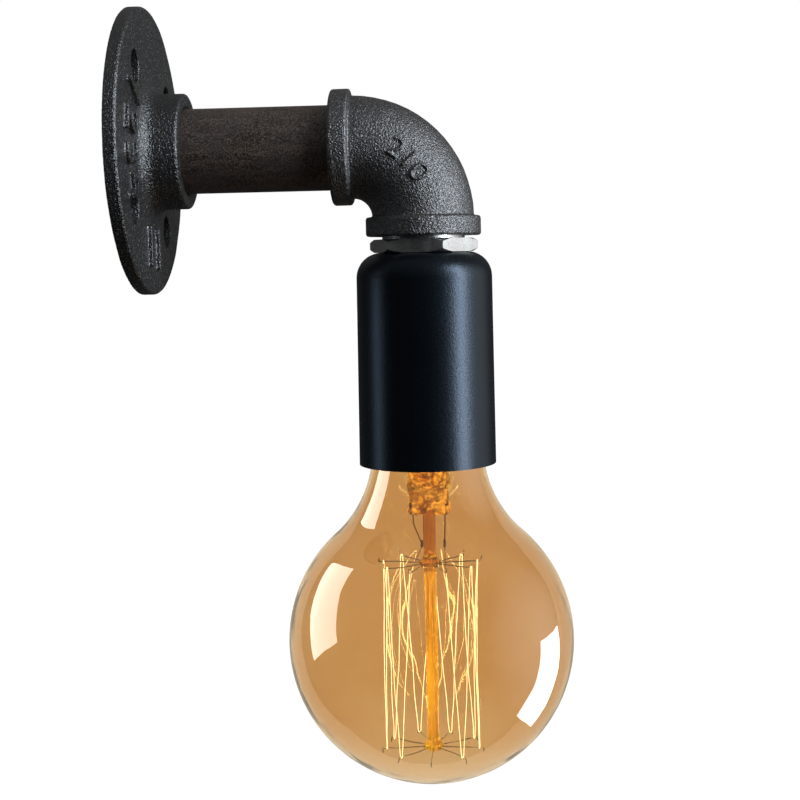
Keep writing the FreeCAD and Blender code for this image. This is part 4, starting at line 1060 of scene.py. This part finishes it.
def light_groups():
    """Two sets of pieces that take different windows: the glass, and all the rest."""
    groups = {}
    for name in ("glassware", "ironware"):
        groups[name] = bpy.data.collections.get(name) or bpy.data.collections.new(name)
    return groups


# Operators

def settle(piece, material, body, slot, *nodes):
    """Give a piece its finish and body, and let it stand for its nodes; slot is not used."""
    wear(piece, material)
    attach(piece, body)
    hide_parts(*nodes)


class WALL_LIGHT_OT_stage(bpy.types.Operator):
    """Make the floor, the room's light, the windows and the camera"""

    bl_idname = "wall_light.stage"
    bl_label = "Stage"

    def execute(self, context):
        look = context.scene.wall_light_stage
        context.scene.view_settings.view_transform = "Standard"
        make_world()
        make_camera()
        half = look.floor_size
        mesh = bpy.data.meshes.new("floor")
        corners = ((-half, -half), (half, -half), (half, half), (-half, half))
        mesh.from_pydata([(x, y, look.floor_height) for x, y in corners], [], [(0, 1, 2, 3)])
        floor = wear(new_piece("floor", mesh), floor_finish())
        floor.visible_glossy = False
        floor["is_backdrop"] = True
        groups = light_groups()
        for name, place, wide, tall, share, tint in WINDOWS:
            lamp(name, place, WINDOW_AIM, wide, tall, share * look.window, tint, groups["ironware"])
        globe = Vector((DROP_X, 0.0, GLOBE_Z))
        brightness = (look.panes, 1.6 * look.panes, look.back_glow)
        for (name, way, wide, tall, tint, roll), bright in zip(PANES, brightness):
            lamp(name, globe + Vector(way), globe, wide, tall, bright, tint, groups["glassware"], roll)
        return {"FINISHED"}


class WALL_LIGHT_OT_flange(bpy.types.Operator):
    """Make the cast wall flange with its raised numerals"""

    bl_idname = "wall_light.flange"
    bl_label = "Flange"

    def execute(self, context):
        piece = cast("flange_casting", "wall_flange", flange_marks(), 3.1)
        iron = cast_iron("cast_flange", tuple(context.scene.wall_light_iron.face))
        settle(piece, iron, "wall_side", "iron", "wall_flange")
        return {"FINISHED"}


class WALL_LIGHT_OT_pipe(bpy.types.Operator):
    """Give the pipe its mill skin"""

    bl_idname = "wall_light.pipe"
    bl_label = "Pipe"

    def execute(self, context):
        dress(mill_pipe(), "pipe_nipple")
        return {"FINISHED"}


class WALL_LIGHT_OT_elbow(bpy.types.Operator):
    """Make the cast elbow with its raised number"""

    bl_idname = "wall_light.elbow"
    bl_label = "Elbow"

    def execute(self, context):
        piece = cast("elbow_casting", "elbow", elbow_marks(), 8.7)
        settle(piece, cast_iron("cast_elbow"), "drop_side", "iron", "elbow")
        return {"FINISHED"}


class WALL_LIGHT_OT_steel(bpy.types.Operator):
    """Give the plug, the tube and the screws their zinc plate"""

    bl_idname = "wall_light.steel"
    bl_label = "Plug, tube and screws"

    def execute(self, context):
        dress(plated_steel(), "hex_plug", "threaded_tube", "cup_washer", "cup_nut", "holder_bracket",
              "grub_screw", "bracket_screws", "earth_screw", "terminal_screws")
        return {"FINISHED"}


class WALL_LIGHT_OT_cup(bpy.types.Operator):
    """Give the cup its black coat"""

    bl_idname = "wall_light.cup"
    bl_label = "Cup"

    def execute(self, context):
        dress(black_coat(), "cover_cup")
        return {"FINISHED"}


class WALL_LIGHT_OT_holder(bpy.types.Operator):
    """Give the lampholder its glaze and brass"""

    bl_idname = "wall_light.holder"
    bl_label = "Lampholder"

    def execute(self, context):
        brass = context.scene.wall_light_metal.brass
        dress(plain_stuff("white_glaze", (0.86, 0.84, 0.80), 0.12), "holder_body")
        dress(plain_metal("brass_parts", brass, 0.3), "screw_shell", "centre_contact", "live_rivet",
              "neutral_rivet", "live_terminal", "neutral_terminal", "foot_contact")
        dress(plain_metal("brass_cap", brass, 0.26), "bulb_cap")
        dress(plain_stuff("dark_insulator", (0.02, 0.02, 0.028), 0.08), "cap_insulator")
        dress(plain_stuff("cement", (0.62, 0.56, 0.46), 0.8, 0.08), "basing_cement")
        return {"FINISHED"}


class WALL_LIGHT_OT_flex(bpy.types.Operator):
    """Give the supply flex and its cores their covers"""

    bl_idname = "wall_light.flex"
    bl_label = "Supply flex"

    def execute(self, context):
        for node, base in (("flex_sheath", (0.03, 0.03, 0.03)), ("live_core", (0.24, 0.10, 0.04)),
                           ("neutral_core", (0.04, 0.13, 0.45)), ("earth_core", (0.20, 0.45, 0.05))):
            dress(plain_stuff(node + "_cover", base, 0.45, 0.03), node)
        return {"FINISHED"}


class WALL_LIGHT_OT_globe(bpy.types.Operator):
    """Make the amber globe"""

    bl_idname = "wall_light.globe"
    bl_label = "Globe"

    def execute(self, context):
        globe = new_piece("globe_glass", globe_mesh())
        settle(globe, amber_glass(), "bulb", "amber_glass", "glass_envelope")
        return {"FINISHED"}


class WALL_LIGHT_OT_stem(bpy.types.Operator):
    """Make the pressed stem and the beaded rod"""

    bl_idname = "wall_light.stem"
    bl_label = "Stem and rod"

    def execute(self, context):
        stem = new_piece("stem_glass", stem_mesh())
        settle(stem, stem_glass(), "bulb", "clear_glass", "glass_stem")
        rod = new_piece("rod_glass", rod_mesh())
        settle(rod, rod_glass(), "bulb", "clear_glass", "support_rod")
        return {"FINISHED"}


class WALL_LIGHT_OT_wires(bpy.types.Operator):
    """Make the hooks, the lead wires and the glowing filament"""

    bl_idname = "wall_light.wires"
    bl_label = "Hooks, leads and filament"

    def execute(self, context):
        dark = plain_metal("dark_wire", (0.12, 0.09, 0.07), 0.4, 0.6)
        for name, node, height, way, level, seed in (
                ("upper_hooks", "upper_supports", UPPER_RING, 1, 0, 11),
                ("lower_hooks", "lower_supports", LOWER_RING, -1, 1, 23)):
            hooks = new_piece(name, hook_mesh(name, height, way, level, seed))
            settle(hooks, dark, "bulb", "wire", node)
        settle(new_piece("leads", lead_mesh()), dark, "bulb", "wire", "lead_wires")
        coil = new_piece("filament_coil", filament_mesh())
        settle(coil, glowing_wire(), "bulb", "glow", "filament")
        return {"FINISHED"}


class WALL_LIGHT_OT_windows(bpy.types.Operator):
    """Put each shown piece in the set of the windows that light it"""

    bl_idname = "wall_light.windows"
    bl_label = "Windows' share"

    def execute(self, context):
        groups = light_groups()
        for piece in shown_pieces():
            name = "glassware" if piece.name in GLASS_PIECES else "ironware"
            groups[name].objects.link(piece)
        return {"FINISHED"}


STEPS = (WALL_LIGHT_OT_stage, WALL_LIGHT_OT_flange, WALL_LIGHT_OT_pipe, WALL_LIGHT_OT_elbow,
         WALL_LIGHT_OT_steel, WALL_LIGHT_OT_cup, WALL_LIGHT_OT_holder, WALL_LIGHT_OT_flex,
         WALL_LIGHT_OT_globe, WALL_LIGHT_OT_stem, WALL_LIGHT_OT_wires, WALL_LIGHT_OT_windows)

SETTINGS = {
    "wall_light_stage": WallLightStage,
    "wall_light_iron": WallLightIron,
    "wall_light_metal": WallLightMetal,
    "wall_light_glass": WallLightGlass,
    "wall_light_glow": WallLightGlow,
}


class WALL_LIGHT_PT_steps(bpy.types.Panel):
    """The steps that dress the wall light, and their settings"""

    bl_label = "Wall Light"
    bl_space_type = "VIEW_3D"
    bl_region_type = "UI"
    bl_category = "Wall Light"

    def draw(self, context):
        for step in STEPS:
            self.layout.operator(step.bl_idname)
        for name, group in SETTINGS.items():
            box = self.layout.box()
            for setting in group.__annotations__:
                box.prop(getattr(context.scene, name), setting)


def register():
    for group in SETTINGS.values():
        bpy.utils.register_class(group)
    for name, group in SETTINGS.items():
        setattr(bpy.types.Scene, name, PointerProperty(type=group))
    for step in STEPS:
        bpy.utils.register_class(step)
    bpy.utils.register_class(WALL_LIGHT_PT_steps)


def unregister():
    bpy.utils.unregister_class(WALL_LIGHT_PT_steps)
    for step in reversed(STEPS):
        bpy.utils.unregister_class(step)
    for name, group in SETTINGS.items():
        delattr(bpy.types.Scene, name)
        bpy.utils.unregister_class(group)


def main():
    """Dress the frame step by step."""
    register()
    for step in STEPS:
        group, name = step.bl_idname.split(".")
        getattr(getattr(bpy.ops, group), name)()


if __name__ == "__main__":
    main()
